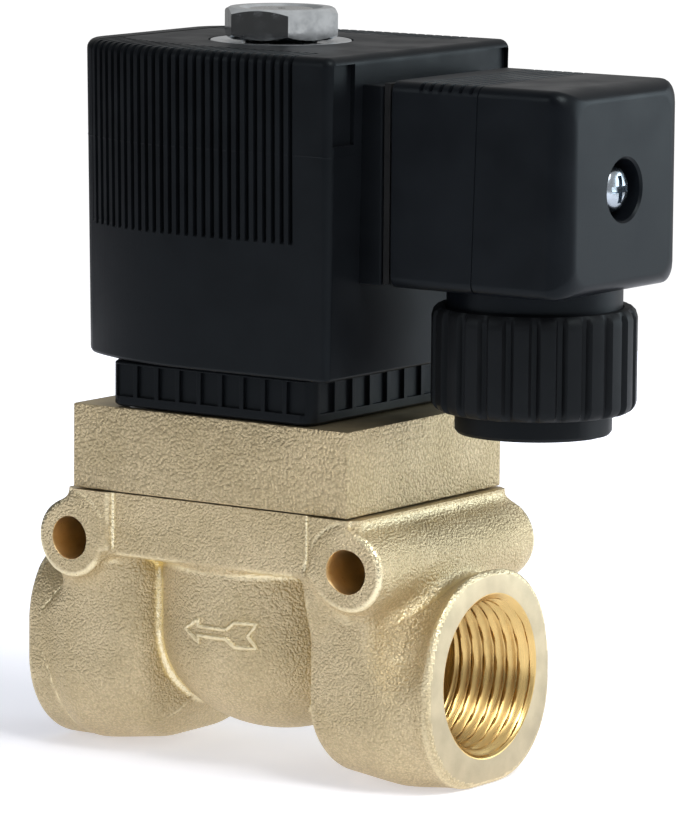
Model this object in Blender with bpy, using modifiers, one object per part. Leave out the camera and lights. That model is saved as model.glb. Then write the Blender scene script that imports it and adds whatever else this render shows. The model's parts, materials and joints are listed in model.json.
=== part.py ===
"""Servo-assisted piston solenoid valve with threaded ports, a clip-round coil and a cable plug.

Metres, +Z up. The origin is under the middle of the valve, on the surface that it stands on. +X is the inlet
side and carries the plug. The valve axis (piston) is the line x = VALVE_X, and the pilot axis (tube, coil, nut)
stands PILOT_OFFSET to its outlet side.
"""

import math

import bmesh
import bpy
from mathutils import Matrix, Vector

# ---------------------------------------------------------------- driving dimensions
SEAT_GAP = 0.0002  # between faces that rest on each other
SLIP = 0.00015  # radial clearance of a part that slides or turns
CUT = 0.001  # how far a cutter runs past the face that it opens
ROUND_STEPS = 24
FINE_STEPS = 14

# Body
BODY_LENGTH = 0.065  # face to face of the two ports
BOSS_HALF = 0.0144  # half across the flats of a port boss, so also the height of the port axis
BOSS_SIDES = 8
BOSS_CORNER = 0.0035
BOSS_INNER = 0.0100  # where a boss starts, from the valve axis
THREAD_MINOR = 0.0094  # radius of the port thread's crests
THREAD_DEPTH = 0.0150
MOUTH_RADIUS = 0.0107
MOUTH_DEPTH = 0.0014
PARTING_HEIGHT = 0.0360  # top of the flange
FLANGE_HALF_LENGTH = 0.0234
FLANGE_HALF_DEPTH = 0.0178
FLANGE_THICKNESS = 0.0086
EAR_SPACING = 0.0446  # between the two cross holes
EAR_HEIGHT = 0.0294
EAR_RADIUS = 0.0053
EAR_HOLE = 0.00275
EAR_PROUD = 0.0003  # machined pad round each cross hole
BELLY_RADIUS = 0.0168
BELLY_BOTTOM = 0.0051  # clear of the surface below
BELLY_CROWN = 0.0140  # height of the bowl under the straight part

# Inside the body
PISTON_BORE = 0.0135
CHAMBER_FLOOR = 0.0130
ANNULUS_FLOOR = 0.0205
SEAT_TOP = 0.0240
SEAT_BORE = 0.0062
SEAT_OUTER = 0.0085
PASSAGE_RADIUS = 0.0052
DRAIN_RADIUS = 0.0007
DRAIN_REACH = 0.0168  # from the valve axis to the drain drilling

# Piston
PISTON_HEIGHT = 0.0078
SEAL_RADIUS = 0.0090
SEAL_THICKNESS = 0.0022
SEAL_STAND_OUT = 0.0010
GUIDE_RING_DEPTH = 0.0013
GUIDE_RING_HEIGHT = 0.0022
GUIDE_RING_ABOVE = 0.0029  # groove's lower side over the piston's lower face
SPRING_POCKET = 0.0072
SPRING_POCKET_DEPTH = 0.0044
BLEED_RADIUS = 0.0006
PISTON_SPRING_RADIUS = 0.0060
PISTON_SPRING_WIRE = 0.00045
PISTON_SPRING_TURNS = 4

# Bonnet
BONNET_LENGTH = 0.0440
BONNET_DEPTH = 0.0355
BONNET_THICKNESS = 0.0112
BONNET_POCKET_DEPTH = 0.0015
BONNET_RING = 0.0144  # radius of the O-ring between body and bonnet
BONNET_RING_WIRE = 0.0007
SCREW_SPACING_X = 0.0240
SCREW_SPACING_Y = 0.0264
SCREW_RADIUS = 0.0020
SCREW_HEAD = 0.0034
SCREW_HEAD_HEIGHT = 0.0040
SCREW_ENGAGEMENT = 0.0068
SCREW_SOCKET = 0.0017

# Pilot
PILOT_OFFSET = -0.0015
SPIGOT_RADIUS = 0.0076
SPIGOT_DEPTH = 0.0044
NOZZLE_RADIUS = 0.0023
NOZZLE_TIP = 0.0014
NOZZLE_BORE = 0.0006
NOZZLE_BASE_DEPTH = 0.0026
NOZZLE_STAND = 0.0018
FEED_OFFSET = 0.0038
TUBE_RADIUS = 0.0059
TUBE_WALL = 0.0009
TUBE_FLANGE = 0.0100
TUBE_FLANGE_HEIGHT = 0.0024
TUBE_RING_WIRE = 0.0008
ARMATURE_LENGTH = 0.0266
ARMATURE_LIFT = 0.0016
ARMATURE_SEAL = 0.0022
ARMATURE_SEAL_HEIGHT = 0.0022
ARMATURE_SEAL_STAND = 0.0004
ARMATURE_BORE = 0.0026
ARMATURE_BORE_DEPTH = 0.0118
ARMATURE_SPRING_RADIUS = 0.0020
ARMATURE_SPRING_WIRE = 0.0003
ARMATURE_SPRING_TURNS = 6
SHADING_INNER = 0.0034
SHADING_OUTER = 0.0042
SHADING_HEIGHT = 0.0013
CORE_SHOULDER = 0.0024
STUD_RADIUS = 0.0049

# Coil
SKIRT_HALF_LENGTH = 0.0161
SKIRT_HALF_DEPTH = 0.0176
SKIRT_HEIGHT = 0.0064
SKIRT_WALL = 0.0020
SKIRT_CORNER = 0.0018
COIL_HALF_LENGTH = 0.0226
COIL_HALF_DEPTH = 0.0209
COIL_HEIGHT = 0.0414
COIL_TOP = 0.0042  # thickness over the yoke
COIL_CHEEK = 0.0390  # large radius of the long sides on the outlet half
COIL_BLUNT = 0.0070  # corner radius on the outlet side
COIL_EDGE = 0.0015  # corner radius on the plug side
COIL_DRAFT = 0.0006  # how much each side leans in towards the foot
YOKE_HALF_WIDTH = 0.0090
YOKE_HALF_DEPTH = 0.0179
YOKE_PLATE = 0.0025
BOBBIN_WALL = 0.0011
BOBBIN_FLANGE = 0.0142
BOBBIN_FLANGE_HEIGHT = 0.0013
WASHER_RADIUS = 0.0094
WASHER_HEIGHT = 0.0011
COLLAR_RING_WIRE = 0.0009
NUT_ACROSS_FLATS = 0.0140
NUT_HEIGHT = 0.0041
NUT_TURN = 12  # degrees from the inlet side to the nut's first corner

# Plug and its base on the coil
BASE_STAND = 0.0030  # how far the terminal base stands off the coil
GASKET_THICKNESS = 0.0009
PLUG_LENGTH = 0.0265
PLUG_HALF_WIDTH = 0.01385
PLUG_HEIGHT = 0.0264
PLUG_DROP = 0.0030  # from the coil's top to the plug's top
PLUG_WALL = 0.0022
PLUG_CORNER = 0.0030
BLADE_EDGE = 0.00235  # from the terminal block's side to each blade's middle
BLADE_WIDTH = 0.0063
BLADE_THICKNESS = 0.0008
BLADE_REACH = 0.0115  # beyond the terminal base
BLADE_ROOT = 0.0090
TERMINAL_SCREW = 0.0015
TERMINAL_SCREW_LENGTH = 0.0050
PLUG_SCREW = 0.00145
PLUG_SCREW_HEAD = 0.0029
PLUG_SCREW_HEAD_HEIGHT = 0.0018
PLUG_SCREW_WELL = 0.0039
PLUG_SCREW_WELL_DEPTH = 0.0034
INSERT_RADIUS = 0.0024
INSERT_LENGTH = 0.0055

# Cable gland
GLAND_FROM_FACE = 0.0133  # gland axis, back from the plug's outer face
NECK_RADIUS = 0.0113
NECK_BORE = 0.0085
NECK_LENGTH = 0.0078
NECK_SHOWING = 0.0025
GLAND_NUT_RADIUS = 0.0132
GLAND_NUT_HEIGHT = 0.0135
GLAND_NUT_LIP = 0.0032
GLAND_RIBS = 24
GLAND_RIB_DEPTH = 0.0006
GLAND_RIB_CORNERS = ((0.0, 0), (0.55, 0), (0.65, 1), (0.9, 1))  # share of the pitch, and share of the depth
GLAND_RING_RADIUS = 0.0101
GLAND_RING_STAND = 0.0028
GLAND_RING_FLANGE = 0.0012
CABLE_BORE = 0.0044
GROMMET_HEIGHT = 0.0072
GLAND_WASHER_HEIGHT = 0.0006

# ---------------------------------------------------------------- places worked out from them
PLUG_FACE = (  # plug's outer face, from the valve axis
    PILOT_OFFSET + COIL_HALF_LENGTH + BASE_STAND + GASKET_THICKNESS + 2 * SEAT_GAP + PLUG_LENGTH
)
VALVE_X = (BODY_LENGTH / 2 - PLUG_FACE) / 2
PORT_Z = BOSS_HALF
PILOT_X = VALVE_X + PILOT_OFFSET
BONNET_FOOT = PARTING_HEIGHT + SEAT_GAP
BONNET_TOP = BONNET_FOOT + BONNET_THICKNESS
BONNET_POCKET_ROOF = BONNET_FOOT + BONNET_POCKET_DEPTH
SPIGOT_FLOOR = BONNET_TOP - SPIGOT_DEPTH
NOZZLE_FLOOR = SPIGOT_FLOOR - NOZZLE_BASE_DEPTH
NOZZLE_TOP = SPIGOT_FLOOR + NOZZLE_STAND
TUBE_BORE = TUBE_RADIUS - TUBE_WALL
ARMATURE_RADIUS = TUBE_BORE - SLIP
ARMATURE_FOOT = NOZZLE_TOP + SEAT_GAP + ARMATURE_SEAL_STAND
ARMATURE_TOP = ARMATURE_FOOT + ARMATURE_LENGTH
CORE_FOOT = ARMATURE_TOP + ARMATURE_LIFT + SEAT_GAP
SKIRT_FOOT = BONNET_TOP + SEAT_GAP
SKIRT_TOP = SKIRT_FOOT + SKIRT_HEIGHT - 2 * SEAT_GAP
COIL_FOOT = SKIRT_TOP + SEAT_GAP
COIL_CROWN = COIL_FOOT + COIL_HEIGHT
YOKE_TOP = COIL_CROWN - COIL_TOP - SEAT_GAP
YOKE_FOOT = COIL_FOOT + SEAT_GAP
CORE_SHOULDER_TOP = YOKE_TOP - SEAT_GAP
TUBE_TOP = CORE_SHOULDER_TOP - CORE_SHOULDER
WASHER_FLOOR = COIL_CROWN - WASHER_HEIGHT - SEAT_GAP
NUT_FOOT = COIL_CROWN + SEAT_GAP
NUT_TOP = NUT_FOOT + NUT_HEIGHT
BASE_ROOT = PILOT_X + COIL_HALF_LENGTH
BASE_FACE = BASE_ROOT + BASE_STAND
GASKET_FACE = BASE_FACE + SEAT_GAP + GASKET_THICKNESS
PLUG_REAR = GASKET_FACE + SEAT_GAP
PLUG_FRONT = PLUG_REAR + PLUG_LENGTH
PLUG_CROWN = COIL_CROWN - PLUG_DROP
PLUG_FOOT = PLUG_CROWN - PLUG_HEIGHT
PLUG_Z = (PLUG_CROWN + PLUG_FOOT) / 2
BLOCK_HALF = min(PLUG_HALF_WIDTH, PLUG_HEIGHT / 2) - PLUG_WALL - 2 * SLIP
BLADE_PITCH = BLOCK_HALF - BLADE_EDGE  # from the plug screw to each blade
GLAND_X = PLUG_FRONT - GLAND_FROM_FACE
GLAND_NUT_TOP = PLUG_FOOT - NECK_SHOWING
GLAND_NUT_FOOT = GLAND_NUT_TOP - GLAND_NUT_HEIGHT
GLAND_SHELF = GLAND_NUT_FOOT + GLAND_NUT_LIP
GLAND_RING_FOOT = GLAND_NUT_FOOT - GLAND_RING_STAND
GLAND_RING_TOP = GLAND_SHELF + SEAT_GAP + GLAND_RING_FLANGE
GROMMET_FOOT = GLAND_RING_TOP + GLAND_WASHER_HEIGHT + 2 * SEAT_GAP
SCREW_PLACES = [
    (sign_x * SCREW_SPACING_X / 2, sign_y * SCREW_SPACING_Y / 2) for sign_x in (-1, 1) for sign_y in (-1, 1)
]


# ---------------------------------------------------------------- scene helpers
def clear_scene():
    for obj in list(bpy.data.objects):
        bpy.data.objects.remove(obj, do_unlink=True)


def new_collection(name):
    made = bpy.data.collections.new(name)
    bpy.context.scene.collection.children.link(made)
    return made


def new_material(name, colour, roughness, metallic=0.0):
    made = bpy.data.materials.new(name)
    made.use_nodes = True
    shader = made.node_tree.nodes["Principled BSDF"]
    shader.inputs["Base Color"].default_value = (*colour, 1.0)
    shader.inputs["Roughness"].default_value = roughness
    shader.inputs["Metallic"].default_value = metallic
    return made


clear_scene()
PARTS = new_collection("solenoid_valve")
CUTTERS = new_collection("solenoid_valve_cutters")
BRASS = ((0.66, 0.53, 0.31), 0.45, 1.0)
BLACK = ((0.018, 0.019, 0.021), 0.45)
STEEL = ((0.62, 0.62, 0.60), 0.28, 1.0)
ZINC = ((0.72, 0.74, 0.76), 0.25, 1.0)
COPPER = ((0.70, 0.32, 0.18), 0.35, 1.0)
IRON = ((0.35, 0.35, 0.36), 0.40, 1.0)
RUBBER = ((0.012, 0.012, 0.012), 0.75)
NYLON = ((0.08, 0.08, 0.085), 0.50)
WHITE = ((0.80, 0.79, 0.75), 0.45)


def joint_axis(name, at, parent=None):
    """An empty on a joint's axis, which the moving pieces hang from."""
    empty = bpy.data.objects.new(name, None)
    empty.empty_display_size = BOSS_HALF
    empty["at"] = at
    PARTS.objects.link(empty)
    place(empty, at, parent)
    return empty


def place(obj, at, parent=None):
    """Puts an object at a world point under a parent that is only moved, never turned."""
    obj.parent = parent
    obj.location = Vector(at) - Vector(parent["at"] if parent else (0, 0, 0))


def add_object(name, mesh, at, look=None, parent=None):
    """A visible piece when it has a look, or a hidden cutter when it has none."""
    obj = bpy.data.objects.new(name, mesh)
    if look:
        obj.data.materials.append(new_material(name, *look))
        PARTS.objects.link(obj)
    else:
        obj.hide_render = True
        obj.display_type = "WIRE"
        CUTTERS.objects.link(obj)
    place(obj, at, parent)
    return obj


def combine(target, tool, operation):
    step = target.modifiers.new(f"{operation.lower()}_{tool.name}", "BOOLEAN")
    step.operation = operation
    step.solver = "EXACT"
    step.object = tool


def cut(target, *tools):
    for tool in tools:
        combine(target, tool, "DIFFERENCE")


def join(target, *tools):
    for tool in tools:
        combine(target, tool, "UNION")


# ---------------------------------------------------------------- shape helpers
def turn_to(axis):
    """The rotation that takes local Z to the world axis named."""
    return {
        "X": Matrix(((0, 0, 1), (1, 0, 0), (0, 1, 0))),
        "Y": Matrix(((1, 0, 0), (0, 0, -1), (0, 1, 0))),
        "Z": Matrix.Identity(3),
    }[axis].to_4x4()


def box(name, low, high, look=None, parent=None):
    mesh = bpy.data.meshes.new(name)
    shape = bmesh.new()
    size = [b - a for a, b in zip(low, high)]
    bmesh.ops.create_cube(shape, size=1.0, matrix=Matrix.Diagonal((*size, 1.0)))
    shape.to_mesh(mesh)
    shape.free()
    centre = [(a + b) / 2 for a, b in zip(low, high)]
    return add_object(name, mesh, centre, look, parent)


def bar(name, radius, start, end, across, axis="Z", look=None, parent=None, steps=ROUND_STEPS):
    """A cylinder from start to end along an axis; across gives its two other coordinates in X, Y, Z order."""
    mesh = bpy.data.meshes.new(name)
    shape = bmesh.new()
    bmesh.ops.create_cone(
        shape,
        cap_ends=True,
        segments=steps,
        radius1=radius,
        radius2=radius,
        depth=end - start,
        matrix=turn_to(axis) @ Matrix.Rotation(math.pi / steps, 4, "Z"),
    )
    shape.to_mesh(mesh)
    shape.free()
    at = list(across)
    at.insert("XYZ".index(axis), (start + end) / 2)
    return add_object(name, mesh, at, look, parent)


def turned(name, profile, at, closed=False, axis="Z", look=None, parent=None, steps=ROUND_STEPS):
    """A profile of (radius, distance along the axis), outer side first and downwards, turned about the axis."""
    mesh = bpy.data.meshes.new(name)
    count = len(profile)
    edges = [(i, i + 1) for i in range(count - 1)]
    if closed:
        edges.append((count - 1, 0))
    mesh.from_pydata([(radius, 0, along) for radius, along in profile], edges, [])
    obj = add_object(name, mesh, at, look, parent)
    obj.rotation_euler = turn_to(axis).to_euler()
    screw = obj.modifiers.new("turn", "SCREW")
    screw.steps = screw.render_steps = steps
    screw.use_merge_vertices = True
    screw.merge_threshold = 1e-6
    screw.use_smooth_shade = True
    return obj


def ring(name, outer, inner, foot, top, at, **more):
    profile = [(outer, top), (outer, foot), (inner, foot), (inner, top)]
    return turned(name, profile, at, closed=True, **more)


def o_ring(name, radius, wire, height, at, **more):
    sides = 6
    angles = [-2 * math.pi * i / sides for i in range(sides)]
    profile = [(radius + wire * math.cos(a), height + wire * math.sin(a)) for a in angles]
    return turned(name, profile, at, closed=True, look=RUBBER, steps=FINE_STEPS + sides, **more)


def prism(name, outline, start, end, axis="Z", look=None, parent=None):
    """A flat outline filled and extruded along an axis. Its points are the two other coordinates, in X, Y, Z order."""
    curve = bpy.data.curves.new(name + "_outline", "CURVE")
    curve.dimensions = "2D"
    curve.fill_mode = "BOTH"
    curve.extrude = (end - start) / 2
    spline = curve.splines.new("POLY")
    spline.points.add(len(outline) - 1)
    for point, (u, v) in zip(spline.points, outline):
        point.co = (u, v, 0, 1)
    spline.use_cyclic_u = True
    guide = bpy.data.objects.new(name + "_outline", curve)
    CUTTERS.objects.link(guide)
    bpy.context.view_layer.update()
    mesh = bpy.data.meshes.new_from_object(guide.evaluated_get(bpy.context.evaluated_depsgraph_get()))
    bpy.data.objects.remove(guide, do_unlink=True)
    shape = bmesh.new()
    shape.from_mesh(mesh)
    bmesh.ops.remove_doubles(shape, verts=shape.verts, dist=1e-6)
    bmesh.ops.transform(shape, matrix=turn_to(axis), verts=shape.verts)
    bmesh.ops.recalc_face_normals(shape, faces=shape.faces)
    shape.to_mesh(mesh)
    shape.free()
    origin = Vector(parent["at"] if parent else (0, 0, 0))
    shift = -origin
    shift["XYZ".index(axis)] += (start + end) / 2
    mesh.transform(Matrix.Translation(shift))
    return add_object(name, mesh, origin, look, parent)


def arc(centre, radius, start, end, steps):
    """Points from one angle to another, in degrees."""
    angles = [math.radians(start + (end - start) * i / steps) for i in range(steps + 1)]
    return [(centre[0] + radius * math.cos(a), centre[1] + radius * math.sin(a)) for a in angles]


def rounded_polygon(corners, radius, steps=3):
    """The polygon's outline with each corner replaced by an arc."""
    outline = []
    count = len(corners)
    for i, corner in enumerate(corners):
        here = Vector(corner)
        back = (Vector(corners[i - 1]) - here).normalized()
        ahead = (Vector(corners[(i + 1) % count]) - here).normalized()
        half = back.angle(ahead) / 2
        centre = here + (back + ahead).normalized() * radius / math.sin(half)
        first = here + back * radius / math.tan(half) - centre
        last = here + ahead * radius / math.tan(half) - centre
        sweep = first.angle_signed(last)
        for step in range(steps + 1):
            turn = -sweep * step / steps
            outline.append(tuple(centre + Matrix.Rotation(turn, 2) @ first))
    return outline


def rectangle(half_u, half_v, centre=(0.0, 0.0)):
    signs = ((-1, -1), (1, -1), (1, 1), (-1, 1))
    return [(centre[0] + u * half_u, centre[1] + v * half_v) for u, v in signs]


def helix(name, radius, wire, foot, top, turns, at, look, parent=None):
    """A compression spring of round wire between two flat seats."""
    per_turn = 8
    count = turns * per_turn
    curve = bpy.data.curves.new(name, "CURVE")
    curve.dimensions = "3D"
    curve.bevel_depth = wire
    curve.bevel_resolution = 2
    curve.use_fill_caps = True
    spline = curve.splines.new("POLY")
    spline.points.add(count)
    rise = top - foot - 2 * wire
    for i, point in enumerate(spline.points):
        angle = 2 * math.pi * i / per_turn
        height = foot + wire + rise * i / count
        point.co = (radius * math.cos(angle), radius * math.sin(angle), height, 1)
    return add_object(name, curve, at, look, parent)


def on_axis(empty):
    """The point on the ground under a vertical axis, where world heights start."""
    return (empty["at"][0], empty["at"][1], 0)


def smooth(*objects):
    for obj in objects:
        if obj.type == "MESH" and obj.data.polygons:
            obj.data.shade_smooth()
            obj.data.set_sharp_from_angle(angle=math.radians(30))


# ---------------------------------------------------------------- joint axes
PISTON_AXIS = joint_axis("piston_axis", (VALVE_X, 0, SEAT_TOP))
ARMATURE_AXIS = joint_axis("armature_axis", (PILOT_X, 0, ARMATURE_FOOT))
NUT_AXIS = joint_axis("nut_axis", (PILOT_X, 0, NUT_FOOT))
COIL_AXIS = joint_axis("coil_axis", (PILOT_X, 0, COIL_FOOT))
PLUG_AXIS = joint_axis("plug_axis", (PLUG_REAR, 0, PLUG_Z), COIL_AXIS)
PLUG_SCREW_AXIS = joint_axis("plug_screw_axis", (PLUG_FRONT, 0, PLUG_Z), PLUG_AXIS)
GLAND_AXIS = joint_axis("gland_axis", (GLAND_X, 0, GLAND_NUT_FOOT), PLUG_AXIS)


# ---------------------------------------------------------------- body
def port_cutter(side):
    """The tapped port with its chamfered mouth on one side; side is +1 at the inlet and -1 at the outlet."""
    flare = (MOUTH_RADIUS - THREAD_MINOR) / MOUTH_DEPTH * CUT
    profile = [(0, CUT), (MOUTH_RADIUS + flare, CUT), (THREAD_MINOR, -MOUTH_DEPTH)]
    profile += [(THREAD_MINOR, -THREAD_DEPTH), (0, -THREAD_DEPTH)]
    name = "inlet_port" if side > 0 else "outlet_port"
    port = turned(name, profile, (VALVE_X + side * BODY_LENGTH / 2, 0, PORT_Z))
    port.rotation_euler = (0, side * math.pi / 2, 0)
    return port


def body_boss(side):
    ends = sorted((VALVE_X + side * BOSS_INNER, VALVE_X + side * BODY_LENGTH / 2))
    reach = BOSS_HALF / math.cos(math.pi / BOSS_SIDES)
    turns = [2 * math.pi * (i + 0.5) / BOSS_SIDES for i in range(BOSS_SIDES)]
    corners = [(reach * math.cos(a), PORT_Z + reach * math.sin(a)) for a in turns]
    name = "inlet_boss" if side > 0 else "outlet_boss"
    return prism(name, rounded_polygon(corners, BOSS_CORNER), *ends, "X")


def body_belly():
    """A bowl under a straight round wall, up into the flange."""
    centre = BELLY_BOTTOM + BELLY_CROWN
    bowl = arc((0, 0), 1.0, 0, -90, 6)
    profile = [(0, PARTING_HEIGHT - FLANGE_THICKNESS / 2), (BELLY_RADIUS, PARTING_HEIGHT - FLANGE_THICKNESS / 2)]
    profile += [(BELLY_RADIUS * c, centre + BELLY_CROWN * s) for c, s in bowl[:-1]]
    profile.append((0, BELLY_BOTTOM))
    return turned("belly", profile, (VALVE_X, 0, 0))


def valve_body():
    flange_foot = PARTING_HEIGHT - FLANGE_THICKNESS
    body = box(
        "valve_body",
        (VALVE_X - FLANGE_HALF_LENGTH, -FLANGE_HALF_DEPTH, flange_foot),
        (VALVE_X + FLANGE_HALF_LENGTH, FLANGE_HALF_DEPTH, PARTING_HEIGHT),
        look=BRASS,
    )
    join(body, body_belly())
    for side in (-1, 1):
        ear_x = VALVE_X + side * EAR_SPACING / 2
        depth = FLANGE_HALF_DEPTH + EAR_PROUD
        join(body, bar(f"ear_{side}", EAR_RADIUS, -depth, depth, (ear_x, EAR_HEIGHT), "Y"))
        join(body, body_boss(side))
    for side in (-1, 1):
        ear_x = VALVE_X + side * EAR_SPACING / 2
        depth = FLANGE_HALF_DEPTH + EAR_PROUD + CUT
        cut(body, bar(f"ear_hole_{side}", EAR_HOLE, -depth, depth, (ear_x, EAR_HEIGHT), "Y", steps=FINE_STEPS))
        cut(body, port_cutter(side))
    cut(body, *passages())
    for number, (dx, dy) in enumerate(SCREW_PLACES, 1):
        foot = PARTING_HEIGHT - SCREW_ENGAGEMENT - SEAT_GAP
        hole = bar(
            f"tapped_hole_{number}",
            SCREW_RADIUS + SLIP,
            foot,
            PARTING_HEIGHT + CUT,
            (VALVE_X + dx, dy),
            steps=FINE_STEPS,
        )
        cut(body, hole)
    smooth(body)
    return body


def passages():
    """The piston bore, the inlet chamber round the seat, the seat bore, and the two cross passages."""
    here = (VALVE_X, 0)
    opening = PARTING_HEIGHT + CUT
    profile = [(0, opening), (PISTON_BORE, opening), (PISTON_BORE, ANNULUS_FLOOR), (SEAT_OUTER, ANNULUS_FLOOR)]
    profile += [(SEAT_OUTER, SEAT_TOP), (0, SEAT_TOP)]
    bore = turned("piston_bore", profile, (*here, 0))
    walls = (PISTON_BORE - SLIP, SEAT_OUTER + SLIP)
    chamber = ring("inlet_chamber", *walls, CHAMBER_FLOOR, ANNULUS_FLOOR + CUT, (*here, 0))
    outlet_half = box(
        "outlet_half",
        (VALVE_X - 2 * PISTON_BORE, -2 * PISTON_BORE, 0),
        (VALVE_X, 2 * PISTON_BORE, PARTING_HEIGHT),
    )
    cut(chamber, outlet_half)
    seat = bar("seat_bore", SEAT_BORE, PORT_Z, SEAT_TOP + CUT, here)
    inlet = bar(
        "inlet_passage",
        PASSAGE_RADIUS,
        VALVE_X + BOSS_INNER + SLIP,
        VALVE_X + BODY_LENGTH / 2 - THREAD_DEPTH + CUT,
        (0, PORT_Z),
        "X",
    )
    outlet = bar(
        "outlet_passage",
        PASSAGE_RADIUS - SLIP,
        VALVE_X - BODY_LENGTH / 2 + THREAD_DEPTH - CUT,
        VALVE_X,
        (0, PORT_Z),
        "X",
    )
    drain = bar(
        "drain",
        DRAIN_RADIUS,
        PORT_Z,
        PARTING_HEIGHT + CUT,
        (VALVE_X - DRAIN_REACH, 0),
        steps=FINE_STEPS // 2,
    )
    return bore, chamber, seat, inlet, outlet, drain


# ---------------------------------------------------------------- piston
def piston():
    foot = SEAT_TOP + SEAT_GAP + SEAL_STAND_OUT
    top = foot + PISTON_HEIGHT
    radius = PISTON_BORE - 2 * SLIP
    groove = (foot + GUIDE_RING_ABOVE, foot + GUIDE_RING_ABOVE + GUIDE_RING_HEIGHT + 2 * SLIP)
    groove_floor = radius - GUIDE_RING_DEPTH
    seal_roof = SEAT_TOP + SEAT_GAP + SEAL_THICKNESS + SEAT_GAP
    pocket_floor = top - SPRING_POCKET_DEPTH
    profile = [
        (0, pocket_floor),
        (SPRING_POCKET, pocket_floor),
        (SPRING_POCKET, top),
        (radius, top),
        (radius, groove[1]),
        (groove_floor, groove[1]),
        (groove_floor, groove[0]),
        (radius, groove[0]),
        (radius, foot),
        (SEAL_RADIUS + SLIP, foot),
        (SEAL_RADIUS + SLIP, seal_roof),
        (0, seal_roof),
    ]
    body = turned("main_piston", profile, on_axis(PISTON_AXIS), look=BRASS, parent=PISTON_AXIS)
    bleed_x = VALVE_X + (SEAL_RADIUS + radius) / 2
    cut(body, bar("bleed", BLEED_RADIUS, foot - CUT, top + CUT, (bleed_x, 0), parent=PISTON_AXIS, steps=FINE_STEPS))
    ring(
        "piston_guide_ring",
        PISTON_BORE - SLIP,
        groove_floor + SLIP,
        groove[0] + SLIP,
        groove[1] - SLIP,
        on_axis(PISTON_AXIS),
        look=WHITE,
        parent=PISTON_AXIS,
    )
    seal = [(0, seal_roof - SEAT_GAP), (SEAL_RADIUS, seal_roof - SEAT_GAP)]
    seal += [(SEAL_RADIUS, SEAT_TOP + SEAT_GAP), (0, SEAT_TOP + SEAT_GAP)]
    turned("piston_seal", seal, on_axis(PISTON_AXIS), look=RUBBER, parent=PISTON_AXIS)
    helix(
        "piston_spring",
        PISTON_SPRING_RADIUS,
        PISTON_SPRING_WIRE,
        pocket_floor + SLIP,
        BONNET_POCKET_ROOF - SLIP,
        PISTON_SPRING_TURNS,
        (VALVE_X, 0, 0),
        STEEL,
    )


# ---------------------------------------------------------------- bonnet
def bonnet():
    half = BONNET_LENGTH / 2
    block = box(
        "bonnet",
        (VALVE_X - half, -BONNET_DEPTH / 2, BONNET_FOOT),
        (VALVE_X + half, BONNET_DEPTH / 2, BONNET_TOP),
        look=BRASS,
    )
    pilot = (PILOT_X, 0)
    cut(
        block,
        bar("spring_pocket", SPRING_POCKET, BONNET_FOOT - CUT, BONNET_POCKET_ROOF, (VALVE_X, 0)),
        bar("spigot_bore", SPIGOT_RADIUS + SLIP, SPIGOT_FLOOR, BONNET_TOP + CUT, pilot),
        bar("tube_ring_seat", *tube_ring_seat(), BONNET_TOP + CUT, pilot),
        bar("nozzle_bore", NOZZLE_RADIUS + SLIP, NOZZLE_FLOOR, SPIGOT_FLOOR + CUT, pilot, steps=FINE_STEPS),
        bar(
            "feed",
            DRAIN_RADIUS,
            BONNET_POCKET_ROOF - CUT,
            SPIGOT_FLOOR + CUT,
            (PILOT_X + FEED_OFFSET, 0),
            steps=FINE_STEPS // 2,
        ),
        drain_drilling(),
    )
    groove_roof = BONNET_FOOT + 2 * BONNET_RING_WIRE
    groove = (BONNET_RING + BONNET_RING_WIRE + SLIP, BONNET_RING - BONNET_RING_WIRE - SLIP)
    cut(block, ring("ring_groove", *groove, BONNET_FOOT - CUT, groove_roof, (VALVE_X, 0, 0)))
    for number, (dx, dy) in enumerate(SCREW_PLACES, 1):
        bonnet_screw(block, number, (VALVE_X + dx, dy))
    o_ring("bonnet_o_ring", BONNET_RING, BONNET_RING_WIRE, groove_roof - BONNET_RING_WIRE - SLIP, (VALVE_X, 0, 0))
    nozzle = [(NOZZLE_TIP, NOZZLE_TOP), (NOZZLE_RADIUS, SPIGOT_FLOOR), (NOZZLE_RADIUS, NOZZLE_FLOOR + SEAT_GAP)]
    nozzle += [(NOZZLE_BORE, NOZZLE_FLOOR + SEAT_GAP), (NOZZLE_BORE, NOZZLE_TOP)]
    turned("pilot_nozzle", nozzle, (*pilot, 0), closed=True, look=STEEL, steps=FINE_STEPS)
    return block


def tube_ring_seat():
    """Radius and floor of the counterbore that holds the guide tube's O-ring."""
    return SPIGOT_RADIUS + 2 * TUBE_RING_WIRE + 2 * SLIP, BONNET_TOP - 2 * TUBE_RING_WIRE - SLIP


def drain_drilling():
    """The slanted drilling from under the nozzle to the drain in the body."""
    start = Vector((PILOT_X, 0, NOZZLE_FLOOR + DRAIN_RADIUS))
    end = Vector((VALVE_X - DRAIN_REACH, 0, BONNET_FOOT))
    run = end - start
    end += run.normalized() * CUT
    run = end - start
    mesh = bpy.data.meshes.new("drain_drilling")
    shape = bmesh.new()
    turn = run.to_track_quat("Z", "Y").to_matrix().to_4x4()
    bmesh.ops.create_cone(
        shape,
        cap_ends=True,
        segments=FINE_STEPS // 2,
        radius1=DRAIN_RADIUS,
        radius2=DRAIN_RADIUS,
        depth=run.length,
        matrix=turn,
    )
    shape.to_mesh(mesh)
    shape.free()
    return add_object("drain_drilling", mesh, (start + end) / 2)


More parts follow.
